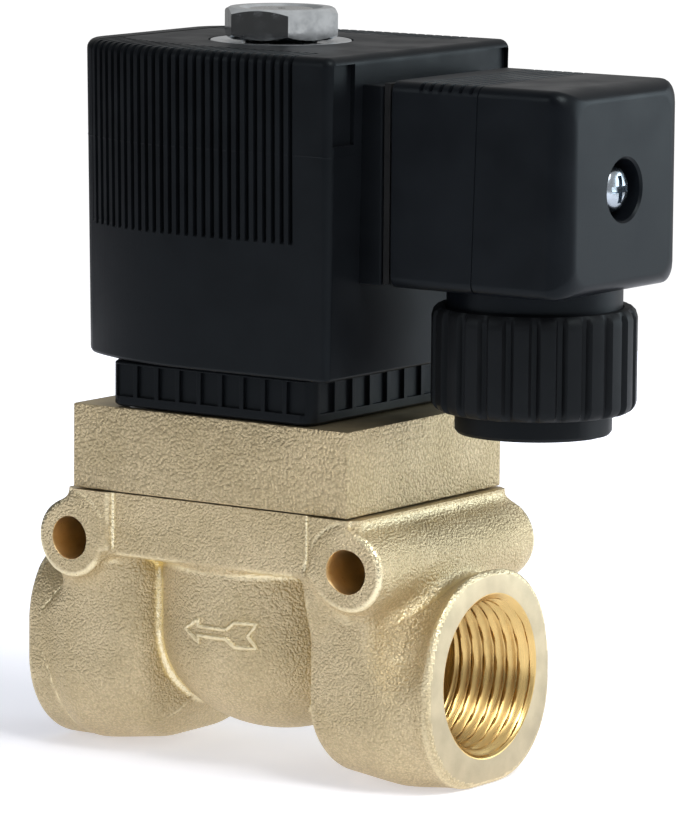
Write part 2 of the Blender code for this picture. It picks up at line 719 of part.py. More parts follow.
def bonnet_screw(block, number, where):
    """One socket-head screw, sunk in its counterbore, and the holes that it needs in the bonnet."""
    head_foot = BONNET_TOP - SEAT_GAP - SCREW_HEAD_HEIGHT
    cut(
        block,
        bar(f"screw_hole_{number}", SCREW_RADIUS + SLIP, BONNET_FOOT - CUT, BONNET_TOP, where, steps=FINE_STEPS),
        bar(
            f"screw_well_{number}",
            SCREW_HEAD + SLIP,
            head_foot - SEAT_GAP,
            BONNET_TOP + CUT,
            where,
            steps=FINE_STEPS,
        ),
    )
    head_top = head_foot + SCREW_HEAD_HEIGHT
    socket_floor = head_top - SCREW_HEAD_HEIGHT / 2
    profile = [(0, head_top), (SCREW_HEAD, head_top), (SCREW_HEAD, head_foot), (SCREW_RADIUS, head_foot)]
    profile += [(SCREW_RADIUS, PARTING_HEIGHT - SCREW_ENGAGEMENT), (0, PARTING_HEIGHT - SCREW_ENGAGEMENT)]
    screw = turned(f"bonnet_screw_{number}", profile, (*where, 0), look=ZINC, steps=FINE_STEPS)
    cut(screw, bar(f"screw_socket_{number}", SCREW_SOCKET, socket_floor, head_top + CUT, where, steps=6))


# ---------------------------------------------------------------- pilot
def pilot():
    here = (PILOT_X, 0, 0)
    flange_foot = BONNET_TOP + SEAT_GAP
    flange_top = flange_foot + TUBE_FLANGE_HEIGHT
    tube = [
        (TUBE_RADIUS, TUBE_TOP),
        (TUBE_RADIUS, flange_top),
        (TUBE_FLANGE, flange_top),
        (TUBE_FLANGE, flange_foot),
        (SPIGOT_RADIUS, flange_foot),
        (SPIGOT_RADIUS, SPIGOT_FLOOR + SEAT_GAP),
        (TUBE_BORE, SPIGOT_FLOOR + SEAT_GAP),
        (TUBE_BORE, TUBE_TOP),
    ]
    turned("guide_tube", tube, here, closed=True, look=STEEL)
    seat_radius, seat_floor = tube_ring_seat()
    ring_radius = seat_radius - TUBE_RING_WIRE - SLIP
    o_ring("guide_tube_o_ring", ring_radius, TUBE_RING_WIRE, seat_floor + TUBE_RING_WIRE + SLIP / 2, here)

    core_radius = TUBE_BORE - SLIP
    groove_roof = CORE_FOOT + SHADING_HEIGHT + SLIP
    core = [
        (0, NUT_TOP - SEAT_GAP),
        (STUD_RADIUS, NUT_TOP - SEAT_GAP),
        (STUD_RADIUS, CORE_SHOULDER_TOP),
        (TUBE_RADIUS, CORE_SHOULDER_TOP),
        (TUBE_RADIUS, TUBE_TOP + SEAT_GAP),
        (core_radius, TUBE_TOP + SEAT_GAP),
        (core_radius, CORE_FOOT),
        (SHADING_OUTER + SLIP, CORE_FOOT),
        (SHADING_OUTER + SLIP, groove_roof),
        (SHADING_INNER - SLIP, groove_roof),
        (SHADING_INNER - SLIP, CORE_FOOT),
        (0, CORE_FOOT),
    ]
    turned("fixed_core", core, here, look=STEEL)
    ring("shading_ring", SHADING_OUTER, SHADING_INNER, CORE_FOOT, CORE_FOOT + SHADING_HEIGHT, here, look=COPPER)

    seal_foot = ARMATURE_FOOT - ARMATURE_SEAL_STAND
    seal_top = seal_foot + ARMATURE_SEAL_HEIGHT
    bore_floor = ARMATURE_TOP - ARMATURE_BORE_DEPTH
    armature = [
        (0, bore_floor),
        (ARMATURE_BORE, bore_floor),
        (ARMATURE_BORE, ARMATURE_TOP),
        (ARMATURE_RADIUS, ARMATURE_TOP),
        (ARMATURE_RADIUS, ARMATURE_FOOT),
        (ARMATURE_SEAL + SLIP, ARMATURE_FOOT),
        (ARMATURE_SEAL + SLIP, seal_top + SLIP),
        (0, seal_top + SLIP),
    ]
    turned("armature", armature, on_axis(ARMATURE_AXIS), look=STEEL, parent=ARMATURE_AXIS)
    seal = [(0, seal_top), (ARMATURE_SEAL, seal_top), (ARMATURE_SEAL, seal_foot), (0, seal_foot)]
    turned("armature_seal", seal, on_axis(ARMATURE_AXIS), look=RUBBER, parent=ARMATURE_AXIS, steps=FINE_STEPS)
    helix(
        "armature_spring",
        ARMATURE_SPRING_RADIUS,
        ARMATURE_SPRING_WIRE,
        bore_floor + SLIP,
        CORE_FOOT - SLIP,
        ARMATURE_SPRING_TURNS,
        here,
        STEEL,
    )


# ---------------------------------------------------------------- coil
def coil_outline(inset=0.0):
    """The coil seen from above: square towards the plug, drawn in by large cheeks towards the outlet."""
    half_length = COIL_HALF_LENGTH - inset
    half_depth = COIL_HALF_DEPTH - inset
    lean = math.degrees(math.asin((half_length - COIL_BLUNT) / (COIL_CHEEK - COIL_BLUNT)))
    edge = arc((half_length - COIL_EDGE, half_depth - COIL_EDGE), COIL_EDGE, 0, 90, 3)
    cheek_centre = (0, half_depth - COIL_CHEEK)
    cheek = arc(cheek_centre, COIL_CHEEK, 90, 90 + lean, 6)
    reach = COIL_CHEEK - COIL_BLUNT
    turn = math.radians(90 + lean)
    blunt_centre = (reach * math.cos(turn), cheek_centre[1] + reach * math.sin(turn))
    blunt = arc(blunt_centre, COIL_BLUNT, 90 + lean, 180, 5)
    upper = edge + cheek + blunt[1:]
    points = upper + [(x, -y) for x, y in reversed(upper)]
    return [(PILOT_X + x, y) for x, y in points]


def coil_shell():
    shell = prism("coil_shell", coil_outline(), COIL_FOOT, COIL_CROWN, look=BLACK, parent=COIL_AXIS)
    narrow = 1 - COIL_DRAFT / COIL_HALF_DEPTH
    for vertex in shell.data.vertices:
        if vertex.co.z < COIL_HEIGHT / 2:
            vertex.co.x *= narrow
            vertex.co.y *= narrow
    base = box(
        "terminal_base",
        (BASE_ROOT - 2 * BASE_STAND, -PLUG_HALF_WIDTH + SEAT_GAP, PLUG_FOOT + SEAT_GAP),
        (BASE_FACE, PLUG_HALF_WIDTH - SEAT_GAP, PLUG_CROWN - SEAT_GAP),
        parent=COIL_AXIS,
    )
    join(shell, base)
    cavity_top = YOKE_TOP + SEAT_GAP
    cut(
        shell,
        bar("winding_room", BOBBIN_FLANGE + 2 * SLIP, COIL_FOOT - CUT, cavity_top, (PILOT_X, 0), parent=COIL_AXIS),
        box(
            "yoke_room",
            (PILOT_X - YOKE_HALF_WIDTH - 2 * SLIP, -YOKE_HALF_DEPTH - 2 * SLIP, COIL_FOOT - CUT),
            (PILOT_X + YOKE_HALF_WIDTH + 2 * SLIP, YOKE_HALF_DEPTH + 2 * SLIP, cavity_top),
            parent=COIL_AXIS,
        ),
        bar("stud_hole", STUD_RADIUS + 2 * SLIP, YOKE_TOP, COIL_CROWN + CUT, (PILOT_X, 0), parent=COIL_AXIS),
        bar("washer_seat", WASHER_RADIUS + SLIP, WASHER_FLOOR, COIL_CROWN + CUT, (PILOT_X, 0), parent=COIL_AXIS),
        bar("collar_seat", *collar_seat(), WASHER_FLOOR + CUT, (PILOT_X, 0), parent=COIL_AXIS),
        bar(
            "insert_hole",
            INSERT_RADIUS + SLIP,
            BASE_FACE - INSERT_LENGTH - 2 * SEAT_GAP,
            BASE_FACE + CUT,
            (0, PLUG_Z),
            "X",
            parent=COIL_AXIS,
            steps=FINE_STEPS,
        ),
    )
    for name, low, high in blades():
        grow = Vector((SLIP, SLIP, SLIP))
        slot = box(name + "_slot", Vector(low) - grow, Vector(high) + grow, parent=COIL_AXIS)
        cut(shell, slot)
        box(name, low, high, look=ZINC, parent=COIL_AXIS)
    smooth(shell)


def collar_seat():
    """Radius and floor of the counterbore that holds the upper O-ring round the stud."""
    return STUD_RADIUS + 2 * COLLAR_RING_WIRE + 2 * SLIP, WASHER_FLOOR - 2 * COLLAR_RING_WIRE - SLIP


def blades():
    """Name, low and high corner of each flat pin: two power pins beside the screw and the earth pin over it."""
    start = BASE_FACE - BLADE_ROOT
    end = BASE_FACE + BLADE_REACH
    wide, thin = BLADE_WIDTH / 2, BLADE_THICKNESS / 2
    found = []
    for name, y in (("power_blade_front", -BLADE_PITCH), ("power_blade_rear", BLADE_PITCH)):
        found.append((name, (start, y - thin, PLUG_Z - wide), (end, y + thin, PLUG_Z + wide)))
    z = PLUG_Z + BLADE_PITCH
    found.append(("earth_blade", (start, -wide, z - thin), (end, wide, z + thin)))
    return found


def coil_inside():
    here = on_axis(COIL_AXIS)
    inner_half = YOKE_HALF_DEPTH - YOKE_PLATE
    low_x, high_x = PILOT_X - YOKE_HALF_WIDTH, PILOT_X + YOKE_HALF_WIDTH
    bracket = box(
        "yoke_bracket",
        (low_x, -YOKE_HALF_DEPTH, YOKE_FOOT),
        (high_x, YOKE_HALF_DEPTH, YOKE_TOP),
        look=IRON,
        parent=COIL_AXIS,
    )
    bore = TUBE_RADIUS + SLIP
    cut(
        bracket,
        box(
            "yoke_window",
            (low_x - CUT, -inner_half, YOKE_FOOT - CUT),
            (high_x + CUT, inner_half, YOKE_TOP - YOKE_PLATE),
            parent=COIL_AXIS,
        ),
        bar("yoke_bore", bore, YOKE_TOP - YOKE_PLATE - CUT, YOKE_TOP + CUT, (PILOT_X, 0), parent=COIL_AXIS),
    )
    plate_top = YOKE_FOOT + YOKE_PLATE
    plate = box(
        "yoke_plate",
        (low_x, -inner_half + SLIP, YOKE_FOOT),
        (high_x, inner_half - SLIP, plate_top),
        look=IRON,
        parent=COIL_AXIS,
    )
    cut(plate, bar("plate_bore", bore, YOKE_FOOT - CUT, plate_top + CUT, (PILOT_X, 0), parent=COIL_AXIS))

    foot = plate_top + SEAT_GAP
    top = YOKE_TOP - YOKE_PLATE - SEAT_GAP
    hub = bore + BOBBIN_WALL
    lower, upper = foot + BOBBIN_FLANGE_HEIGHT, top - BOBBIN_FLANGE_HEIGHT
    bobbin = [
        (BOBBIN_FLANGE, top),
        (BOBBIN_FLANGE, upper),
        (hub, upper),
        (hub, lower),
        (BOBBIN_FLANGE, lower),
        (BOBBIN_FLANGE, foot),
        (bore, foot),
        (bore, top),
    ]
    turned("coil_bobbin", bobbin, here, closed=True, look=WHITE, parent=COIL_AXIS)
    ring(
        "coil_winding",
        BOBBIN_FLANGE - 2 * SLIP,
        hub + SLIP,
        lower + SLIP,
        upper - SLIP,
        here,
        look=COPPER,
        parent=COIL_AXIS,
    )
    insert_face = BASE_FACE - SEAT_GAP
    ring(
        "plug_screw_insert",
        INSERT_RADIUS,
        PLUG_SCREW + SLIP,
        insert_face - INSERT_LENGTH,
        insert_face,
        (0, 0, PLUG_Z),
        axis="X",
        look=BRASS,
        parent=COIL_AXIS,
        steps=FINE_STEPS,
    )


def coil_skirt():
    outline = rounded_polygon(rectangle(SKIRT_HALF_LENGTH, SKIRT_HALF_DEPTH, (VALVE_X, 0)), SKIRT_CORNER)
    inside = rectangle(SKIRT_HALF_LENGTH - SKIRT_WALL, SKIRT_HALF_DEPTH - SKIRT_WALL, (VALVE_X, 0))
    skirt = prism("coil_base_skirt", outline, SKIRT_FOOT, SKIRT_TOP, look=BLACK, parent=COIL_AXIS)
    roof = SKIRT_TOP - SKIRT_WALL + SEAT_GAP
    cut(
        skirt,
        prism("skirt_room", inside, SKIRT_FOOT - CUT, roof, parent=COIL_AXIS),
        bar("skirt_bore", TUBE_RADIUS + 2 * SLIP, roof - CUT, SKIRT_TOP + CUT, (PILOT_X, 0), parent=COIL_AXIS),
    )
    flange_top = BONNET_TOP + SEAT_GAP + TUBE_FLANGE_HEIGHT
    wire = (roof - flange_top - 2 * SLIP) / 2
    o_ring("coil_lower_o_ring", TUBE_RADIUS + SLIP + wire, wire, flange_top + wire + SLIP, (PILOT_X, 0, 0))


def coil_top():
    here = on_axis(COIL_AXIS)
    radius, floor = collar_seat()
    wire = COLLAR_RING_WIRE
    o_ring("coil_upper_o_ring", radius - wire - SLIP, wire, floor + wire + SLIP / 2, here, parent=COIL_AXIS)
    ring(
        "top_washer",
        WASHER_RADIUS,
        STUD_RADIUS + SLIP,
        WASHER_FLOOR + SEAT_GAP,
        COIL_CROWN,
        here,
        look=ZINC,
        parent=COIL_AXIS,
    )
    reach = NUT_ACROSS_FLATS / 2 / math.cos(math.pi / 6)
    turns = [math.radians(60 * i + NUT_TURN) for i in range(6)]
    corners = [(PILOT_X + reach * math.cos(a), reach * math.sin(a)) for a in turns]
    nut = prism("hex_nut", corners, NUT_FOOT, NUT_TOP, look=ZINC, parent=NUT_AXIS)
    cut(
        nut,
        bar("nut_bore", STUD_RADIUS + SLIP, NUT_FOOT - CUT, NUT_TOP + CUT, (PILOT_X, 0), parent=NUT_AXIS),
    )


# ---------------------------------------------------------------- plug
def plug_housing():
    half = PLUG_HALF_WIDTH
    long = PLUG_FRONT - PLUG_REAR
    corners = [(PLUG_REAR - long, -half), (PLUG_FRONT, -half), (PLUG_FRONT, half), (PLUG_REAR - long, half)]
    housing = prism(
        "plug_housing",
        rounded_polygon(corners, PLUG_CORNER),
        PLUG_FOOT,
        PLUG_CROWN,
        look=BLACK,
        parent=PLUG_AXIS,
    )
    behind = box(
        "behind_plug",
        (PLUG_REAR - 2 * long, -2 * half, PLUG_FOOT - CUT),
        (PLUG_REAR, 2 * half, PLUG_CROWN + CUT),
        parent=PLUG_AXIS,
    )
    neck_foot = PLUG_FOOT - NECK_LENGTH
    well_floor = PLUG_FRONT - PLUG_SCREW_WELL_DEPTH
    pillar = well_floor - PLUG_WALL
    cut(
        housing,
        behind,
        box(
            "plug_room",
            (PLUG_REAR - CUT, -half + PLUG_WALL, PLUG_FOOT + PLUG_WALL),
            (PLUG_FRONT - PLUG_WALL, half - PLUG_WALL, PLUG_CROWN - PLUG_WALL),
            parent=PLUG_AXIS,
        ),
    )
    join(
        housing,
        bar("neck", NECK_RADIUS, neck_foot, PLUG_FOOT + PLUG_WALL / 2, (GLAND_X, 0), parent=PLUG_AXIS),
        bar(
            "screw_pillar",
            PLUG_SCREW_WELL + PLUG_WALL,
            pillar,
            PLUG_FRONT - PLUG_WALL / 2,
            (0, PLUG_Z),
            "X",
            parent=PLUG_AXIS,
        ),
    )
    cut(
        housing,
        bar("neck_bore", NECK_BORE, neck_foot - CUT, PLUG_FOOT + PLUG_WALL + CUT, (GLAND_X, 0), parent=PLUG_AXIS),
        bar("screw_well", PLUG_SCREW_WELL, well_floor, PLUG_FRONT + CUT, (0, PLUG_Z), "X", parent=PLUG_AXIS),
        bar(
            "screw_way",
            PLUG_SCREW + SLIP,
            pillar - CUT,
            PLUG_FRONT,
            (0, PLUG_Z),
            "X",
            parent=PLUG_AXIS,
            steps=FINE_STEPS,
        ),
    )
    smooth(housing)


def terminal_block():
    start = PLUG_REAR + SEAT_GAP
    end = BASE_FACE + BLADE_REACH + TERMINAL_SCREW_LENGTH
    outline = rounded_polygon(rectangle(BLOCK_HALF, BLOCK_HALF, (0, PLUG_Z)), PLUG_CORNER)
    block = prism("terminal_block", outline, start, end, "X", look=NYLON, parent=PLUG_AXIS)
    cut(
        block,
        bar(
            "block_screw_way",
            PLUG_SCREW + SLIP,
            start - CUT,
            end + CUT,
            (0, PLUG_Z),
            "X",
            parent=PLUG_AXIS,
            steps=FINE_STEPS,
        ),
    )
    for name, low, high in blades():
        slot_low = (start - CUT, low[1] - SLIP, low[2] - SLIP)
        slot_high = tuple(value + SLIP for value in high)
        cut(block, box(name + "_socket", slot_low, slot_high, parent=PLUG_AXIS))
        where = ((low[1] + high[1]) / 2, (low[2] + high[2]) / 2)
        terminal_screw(block, name, where, end)


def terminal_screw(block, name, where, face):
    """A small screw half sunk in the block's outer face, over the blade that it clamps."""
    foot = face - TERMINAL_SCREW_LENGTH / 2
    hole = bar(
        name + "_screw_hole",
        TERMINAL_SCREW + SLIP,
        foot - SLIP,
        face + CUT,
        where,
        "X",
        parent=PLUG_AXIS,
        steps=FINE_STEPS,
    )
    cut(block, hole)
    name = name.replace("blade", "terminal_screw")
    bar(
        name,
        TERMINAL_SCREW,
        foot,
        foot + TERMINAL_SCREW_LENGTH,
        where,
        "X",
        look=ZINC,
        parent=PLUG_AXIS,
        steps=FINE_STEPS,
    )


def plug_gasket():
    half = PLUG_HALF_WIDTH - 2 * SEAT_GAP
    outline = rectangle(half, PLUG_HEIGHT / 2 - 2 * SEAT_GAP, (0, PLUG_Z))
    hole = rectangle(BLOCK_HALF + SLIP, BLOCK_HALF + SLIP, (0, PLUG_Z))
    gasket = prism("plug_gasket", outline, BASE_FACE + SEAT_GAP, GASKET_FACE, "X", look=RUBBER, parent=PLUG_AXIS)
    cut(gasket, prism("gasket_hole", hole, BASE_FACE - CUT, GASKET_FACE + CUT, "X", parent=PLUG_AXIS))


def plug_screw():
    at = (0, 0, PLUG_Z)
    seat = PLUG_FRONT - PLUG_SCREW_WELL_DEPTH
    washer_face = seat + SEAT_GAP + GLAND_WASHER_HEIGHT
    ring(
        "plug_screw_seal",
        PLUG_SCREW_HEAD + SLIP,
        PLUG_SCREW + SLIP,
        seat + SEAT_GAP,
        washer_face,
        at,
        axis="X",
        look=RUBBER,
        parent=PLUG_AXIS,
        steps=FINE_STEPS,
    )
    head_foot = washer_face + SEAT_GAP
    head_top = head_foot + PLUG_SCREW_HEAD_HEIGHT
    tip = BASE_FACE - INSERT_LENGTH + SEAT_GAP
    profile = [(0, head_top), (PLUG_SCREW, head_top), (PLUG_SCREW_HEAD, head_foot + PLUG_SCREW_HEAD_HEIGHT / 2)]
    profile += [(PLUG_SCREW_HEAD, head_foot), (PLUG_SCREW, head_foot), (PLUG_SCREW, tip), (0, tip)]
    screw = turned("plug_screw", profile, at, axis="X", look=ZINC, parent=PLUG_SCREW_AXIS, steps=FINE_STEPS)
    slot = PLUG_SCREW / 4
    for name, size in (("cross_a", (PLUG_SCREW, slot)), ("cross_b", (slot, PLUG_SCREW))):
        low = (head_top - PLUG_SCREW_HEAD_HEIGHT / 2, -size[0], PLUG_Z - size[1])
        high = (head_top + CUT, size[0], PLUG_Z + size[1])
        cut(screw, box(name, low, high, parent=PLUG_SCREW_AXIS))


# ---------------------------------------------------------------- cable gland
def gland():
    here = (GLAND_X, 0, 0)
    outline = []
    for i in range(GLAND_RIBS):
        for share, depth in GLAND_RIB_CORNERS:
            angle = 2 * math.pi * (i + share) / GLAND_RIBS
            reach = GLAND_NUT_RADIUS - depth * GLAND_RIB_DEPTH
            outline.append((GLAND_X + reach * math.cos(angle), reach * math.sin(angle)))
    nut = prism("gland_nut", outline, GLAND_NUT_FOOT, GLAND_NUT_TOP, look=BLACK, parent=GLAND_AXIS)
    bore = NECK_RADIUS + SLIP
    lip = GLAND_RING_RADIUS + SLIP
    cut(
        nut,
        bar("gland_thread", bore, GLAND_SHELF, GLAND_NUT_TOP + CUT, (GLAND_X, 0), parent=GLAND_AXIS),
        bar("gland_lip", lip, GLAND_NUT_FOOT - CUT, GLAND_SHELF + CUT, (GLAND_X, 0), parent=GLAND_AXIS),
    )
    end_ring = [
        (bore - 2 * SLIP, GLAND_RING_TOP),
        (bore - 2 * SLIP, GLAND_SHELF + SEAT_GAP),
        (GLAND_RING_RADIUS, GLAND_SHELF + SEAT_GAP),
        (GLAND_RING_RADIUS, GLAND_RING_FOOT),
        (CABLE_BORE, GLAND_RING_FOOT),
        (CABLE_BORE, GLAND_RING_TOP),
    ]
    turned("gland_end_ring", end_ring, here, closed=True, look=BLACK, parent=PLUG_AXIS)
    washer_foot = GLAND_RING_TOP + SEAT_GAP
    ring(
        "gland_washer",
        NECK_BORE - SLIP,
        CABLE_BORE,
        washer_foot,
        washer_foot + GLAND_WASHER_HEIGHT,
        here,
        look=WHITE,
        parent=PLUG_AXIS,
    )
    ring(
        "gland_grommet",
        NECK_BORE - SLIP,
        CABLE_BORE,
        GROMMET_FOOT,
        GROMMET_FOOT + GROMMET_HEIGHT,
        here,
        look=RUBBER,
        parent=PLUG_AXIS,
    )


valve_body()
piston()
bonnet()
pilot()
coil_shell()
coil_inside()
coil_skirt()
coil_top()
plug_housing()
terminal_block()
plug_gasket()
plug_screw()
gland()
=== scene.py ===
"""Looks of the solenoid valve: forged brass body, black moulded coil and plug, zinc nut and washer.

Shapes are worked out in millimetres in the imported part's own frame, and their places come from its boxes and
joint axes. Materials are procedural and read object coordinates, which are in metres.
"""

import json
import math

import bmesh
import bpy
import numpy as np
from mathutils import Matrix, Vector

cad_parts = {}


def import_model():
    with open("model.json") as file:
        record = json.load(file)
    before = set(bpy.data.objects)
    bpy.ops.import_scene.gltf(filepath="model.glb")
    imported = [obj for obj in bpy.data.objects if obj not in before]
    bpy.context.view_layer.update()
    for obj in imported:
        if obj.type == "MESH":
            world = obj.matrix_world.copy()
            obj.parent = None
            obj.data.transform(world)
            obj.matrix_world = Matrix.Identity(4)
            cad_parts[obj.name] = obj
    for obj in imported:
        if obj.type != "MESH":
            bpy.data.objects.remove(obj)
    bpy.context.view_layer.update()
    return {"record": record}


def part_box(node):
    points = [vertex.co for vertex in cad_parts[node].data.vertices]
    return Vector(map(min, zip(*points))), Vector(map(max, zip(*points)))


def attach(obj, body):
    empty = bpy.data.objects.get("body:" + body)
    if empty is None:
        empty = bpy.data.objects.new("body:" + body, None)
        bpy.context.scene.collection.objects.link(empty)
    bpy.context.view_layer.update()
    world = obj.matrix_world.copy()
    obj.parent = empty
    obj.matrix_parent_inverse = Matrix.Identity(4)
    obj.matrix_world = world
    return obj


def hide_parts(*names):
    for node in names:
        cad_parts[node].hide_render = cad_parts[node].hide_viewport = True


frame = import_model()
MM = 0.001
RECORD = frame["record"]


# ---- places, in mm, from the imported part
def box_mm(node):
    low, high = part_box(node)
    return np.array(low) / MM, np.array(high) / MM


def heights(node):
    low, high = box_mm(node)
    return low[2], high[2]


def middle(node):
    low, high = box_mm(node)
    return (low + high) / 2


def joint_mm(name):
    joint = next(j for j in RECORD["behaviour"]["joints"] if j["name"] == name)
    return np.array(joint["pos_m"]) / MM


def mount_mm(name):
    mount = next(m for m in RECORD["mounts"] if m["name"] == name)
    return np.array(mount["pos_m"]) / MM


BODY_LOW, BODY_HIGH = box_mm("valve_body")
BONNET_LOW, BONNET_HIGH = box_mm("bonnet")
SHELL_LOW, SHELL_HIGH = box_mm("coil_shell")
PLUG_LOW, PLUG_HIGH = box_mm("plug_housing")
VALVE_X = middle("main_piston")[0]
PILOT_X = joint_mm("coil_swivel")[0]
GLAND_X = joint_mm("gland_nut_spin")[0]
PLUG_Z = joint_mm("plug_screw_spin")[2]
PORT_Z = mount_mm("inlet_face")[2]
EAR_X = mount_mm("ear_face_inlet")[0] - VALVE_X
HALF_LENGTH = (BODY_HIGH[0] - BODY_LOW[0]) / 2
NECK_HEIGHT = 7.8
PLUG_BOX_FOOT = PLUG_LOW[2] + NECK_HEIGHT


# ---- mesh helpers
def in_scene(name, data):
    obj = bpy.data.objects.new(name, data)
    bpy.context.scene.collection.objects.link(obj)
    return obj


def baked_mesh(obj):
    """The object's mesh with its modifiers, or its curve, worked out."""
    graph = bpy.context.evaluated_depsgraph_get()
    return bpy.data.meshes.new_from_object(obj.evaluated_get(graph))


def add_mesh(name, points, faces, body, replaced=(), slot=None, smooth=35, material=None):
    """An object from points in mm that rides on a body and stands for the CAD nodes named."""
    mesh = bpy.data.meshes.new(name)
    mesh.from_pydata(np.asarray(points, float) * MM, [], faces)
    return add_object(name, mesh, body, replaced, smooth, material)


def add_object(name, mesh, body, replaced=(), smooth=35, material=None):
    obj = in_scene(name, mesh)
    shape = bmesh.new()
    shape.from_mesh(mesh)
    bmesh.ops.recalc_face_normals(shape, faces=shape.faces)
    shape.to_mesh(mesh)
    shape.free()
    mesh.shade_smooth()
    mesh.set_sharp_from_angle(angle=math.radians(smooth))
    if body:
        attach(obj, body)
        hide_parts(*replaced)
    if material:
        mesh.materials.clear()
        mesh.materials.append(material)
    return obj


def apply_modifiers(obj):
    mesh = baked_mesh(obj)
    obj.modifiers.clear()
    obj.data = mesh


def bake(obj, smooth=35):
    """Turns the object's modifiers into its mesh and shades it anew."""
    apply_modifiers(obj)
    obj.data.shade_smooth()
    obj.data.set_sharp_from_angle(angle=math.radians(smooth))


def carve(obj, cutters, operation="DIFFERENCE"):
    """Cuts or joins throwaway shapes, one after another."""
    for cutter in cutters:
        step = obj.modifiers.new("carve", "BOOLEAN")
        step.operation = operation
        step.solver = "MANIFOLD"
        step.object = cutter
    bake(obj)
    for cutter in cutters:
        bpy.data.objects.remove(cutter, do_unlink=True)


def soften(obj, width, segments=2, angle=35):
    """Rounds the edges that turn by more than the angle; width in mm."""
    step = obj.modifiers.new("soften", "BEVEL")
    step.width = width * MM
    step.segments = segments
    step.limit_method = "ANGLE"
    step.angle_limit = math.radians(angle)
    step.harden_normals = False
    bake(obj)


def even_shading(obj):
    """Flat faces keep their flat look right up to their rounded edges."""
    step = obj.modifiers.new("even", "WEIGHTED_NORMAL")
    step.keep_sharp = True
    apply_modifiers(obj)


def loft(rings, closed=False):
    """Points and faces of rings of equal count joined in order, with flat ends unless closed."""
    count = len(rings[0])
    points = np.concatenate(rings)
    faces = []
    spans = len(rings) if closed else len(rings) - 1
    for i in range(spans):
        a, b = i * count, (i + 1) % len(rings) * count
        faces += [(a + j, a + (j + 1) % count, b + (j + 1) % count, b + j) for j in range(count)]
    if not closed:
        faces += [tuple(range(count))[::-1], tuple(range(len(points) - count, len(points)))]
    return points, faces


def turned(profile, centre, axis="Z", steps=96):
    """Rings of (radius, place along the axis) about a line through centre; the profile closes on itself."""
    turns = np.arange(steps) * 2 * math.pi / steps
    rings = []
    for radius, along in profile:
        a, b = radius * np.cos(turns), radius * np.sin(turns)
        flat = np.full(steps, float(along))
        if axis == "Z":
            ring = (centre[0] + a, centre[1] + b, flat)
        elif axis == "Y":
            ring = (centre[0] + a, flat, centre[2] + b)
        else:
            ring = (flat, centre[1] + a, centre[2] + b)
        rings.append(np.stack(ring, 1))
    return loft(rings, closed=True)


def turned_cutter(profile, centre, axis="Z", steps=96):
    """A solid for carving: the profile starts and ends near the axis, and its ends are flat."""
    points, faces = turned(profile, centre, axis, steps)
    last = len(points)
    faces = faces[:-steps] + [tuple(range(steps))[::-1], tuple(range(last - steps, last))]
    return add_mesh("cutter", points, faces, None)


def cylinder(radius, low, high, centre, axis="Z", steps=96):
    return turned_cutter([(radius, low), (radius, high)], centre, axis, steps)


def block(low, high):
    low, high = np.array(low, float), np.array(high, float)
    corners = [(x, y, z) for x in (low[0], high[0]) for y in (low[1], high[1]) for z in (low[2], high[2])]
    faces = [(0, 1, 3, 2), (4, 6, 7, 5), (0, 4, 5, 1), (2, 3, 7, 6), (0, 2, 6, 4), (1, 5, 7, 3)]
    return add_mesh("cutter", corners, faces, None)


def joined(objects):
    """One object of separate shapes that don't touch, so that they cut in one step."""
    shape = bmesh.new()
    for obj in objects:
        shape.from_mesh(obj.data)
    mesh = bpy.data.meshes.new("cutter")
    shape.to_mesh(mesh)
    shape.free()
    for obj in objects:
        bpy.data.objects.remove(obj, do_unlink=True)
    return in_scene("cutter", mesh)


def arc_points(centre, radius, start, end, steps):
    angles = np.radians(np.linspace(start, end, steps + 1))
    return np.stack((centre[0] + radius * np.cos(angles), centre[1] + radius * np.sin(angles)), 1)


# ---- smooth solids from distance fields
def smooth_min(a, b, reach):
    h = np.clip(reach - np.abs(a - b), 0, None) / reach
    return np.minimum(a, b) - h * h * reach / 4


def smooth_max(a, b, reach):
    return -smooth_min(-a, -b, reach)


def box_field(x, y, z, half, radius):
    q = [np.abs(v) - h + radius for v, h in zip((x, y, z), half)]
    outside = np.sqrt(sum(np.clip(v, 0, None) ** 2 for v in q))
    return outside + np.minimum(np.maximum(np.maximum(q[0], q[1]), q[2]), 0) - radius


def rounded_corner(across, down, radius):
    """Distance from two flat faces that meet in a rounded edge, from the distance past each."""
    a, b = across + radius, down + radius
    return np.hypot(np.clip(a, 0, None), np.clip(b, 0, None)) + np.minimum(np.maximum(a, b), 0) - radius


def ramp(value, start, end):
    t = np.clip((value - start) / (end - start), 0, 1)
    return t * t * (3 - 2 * t)


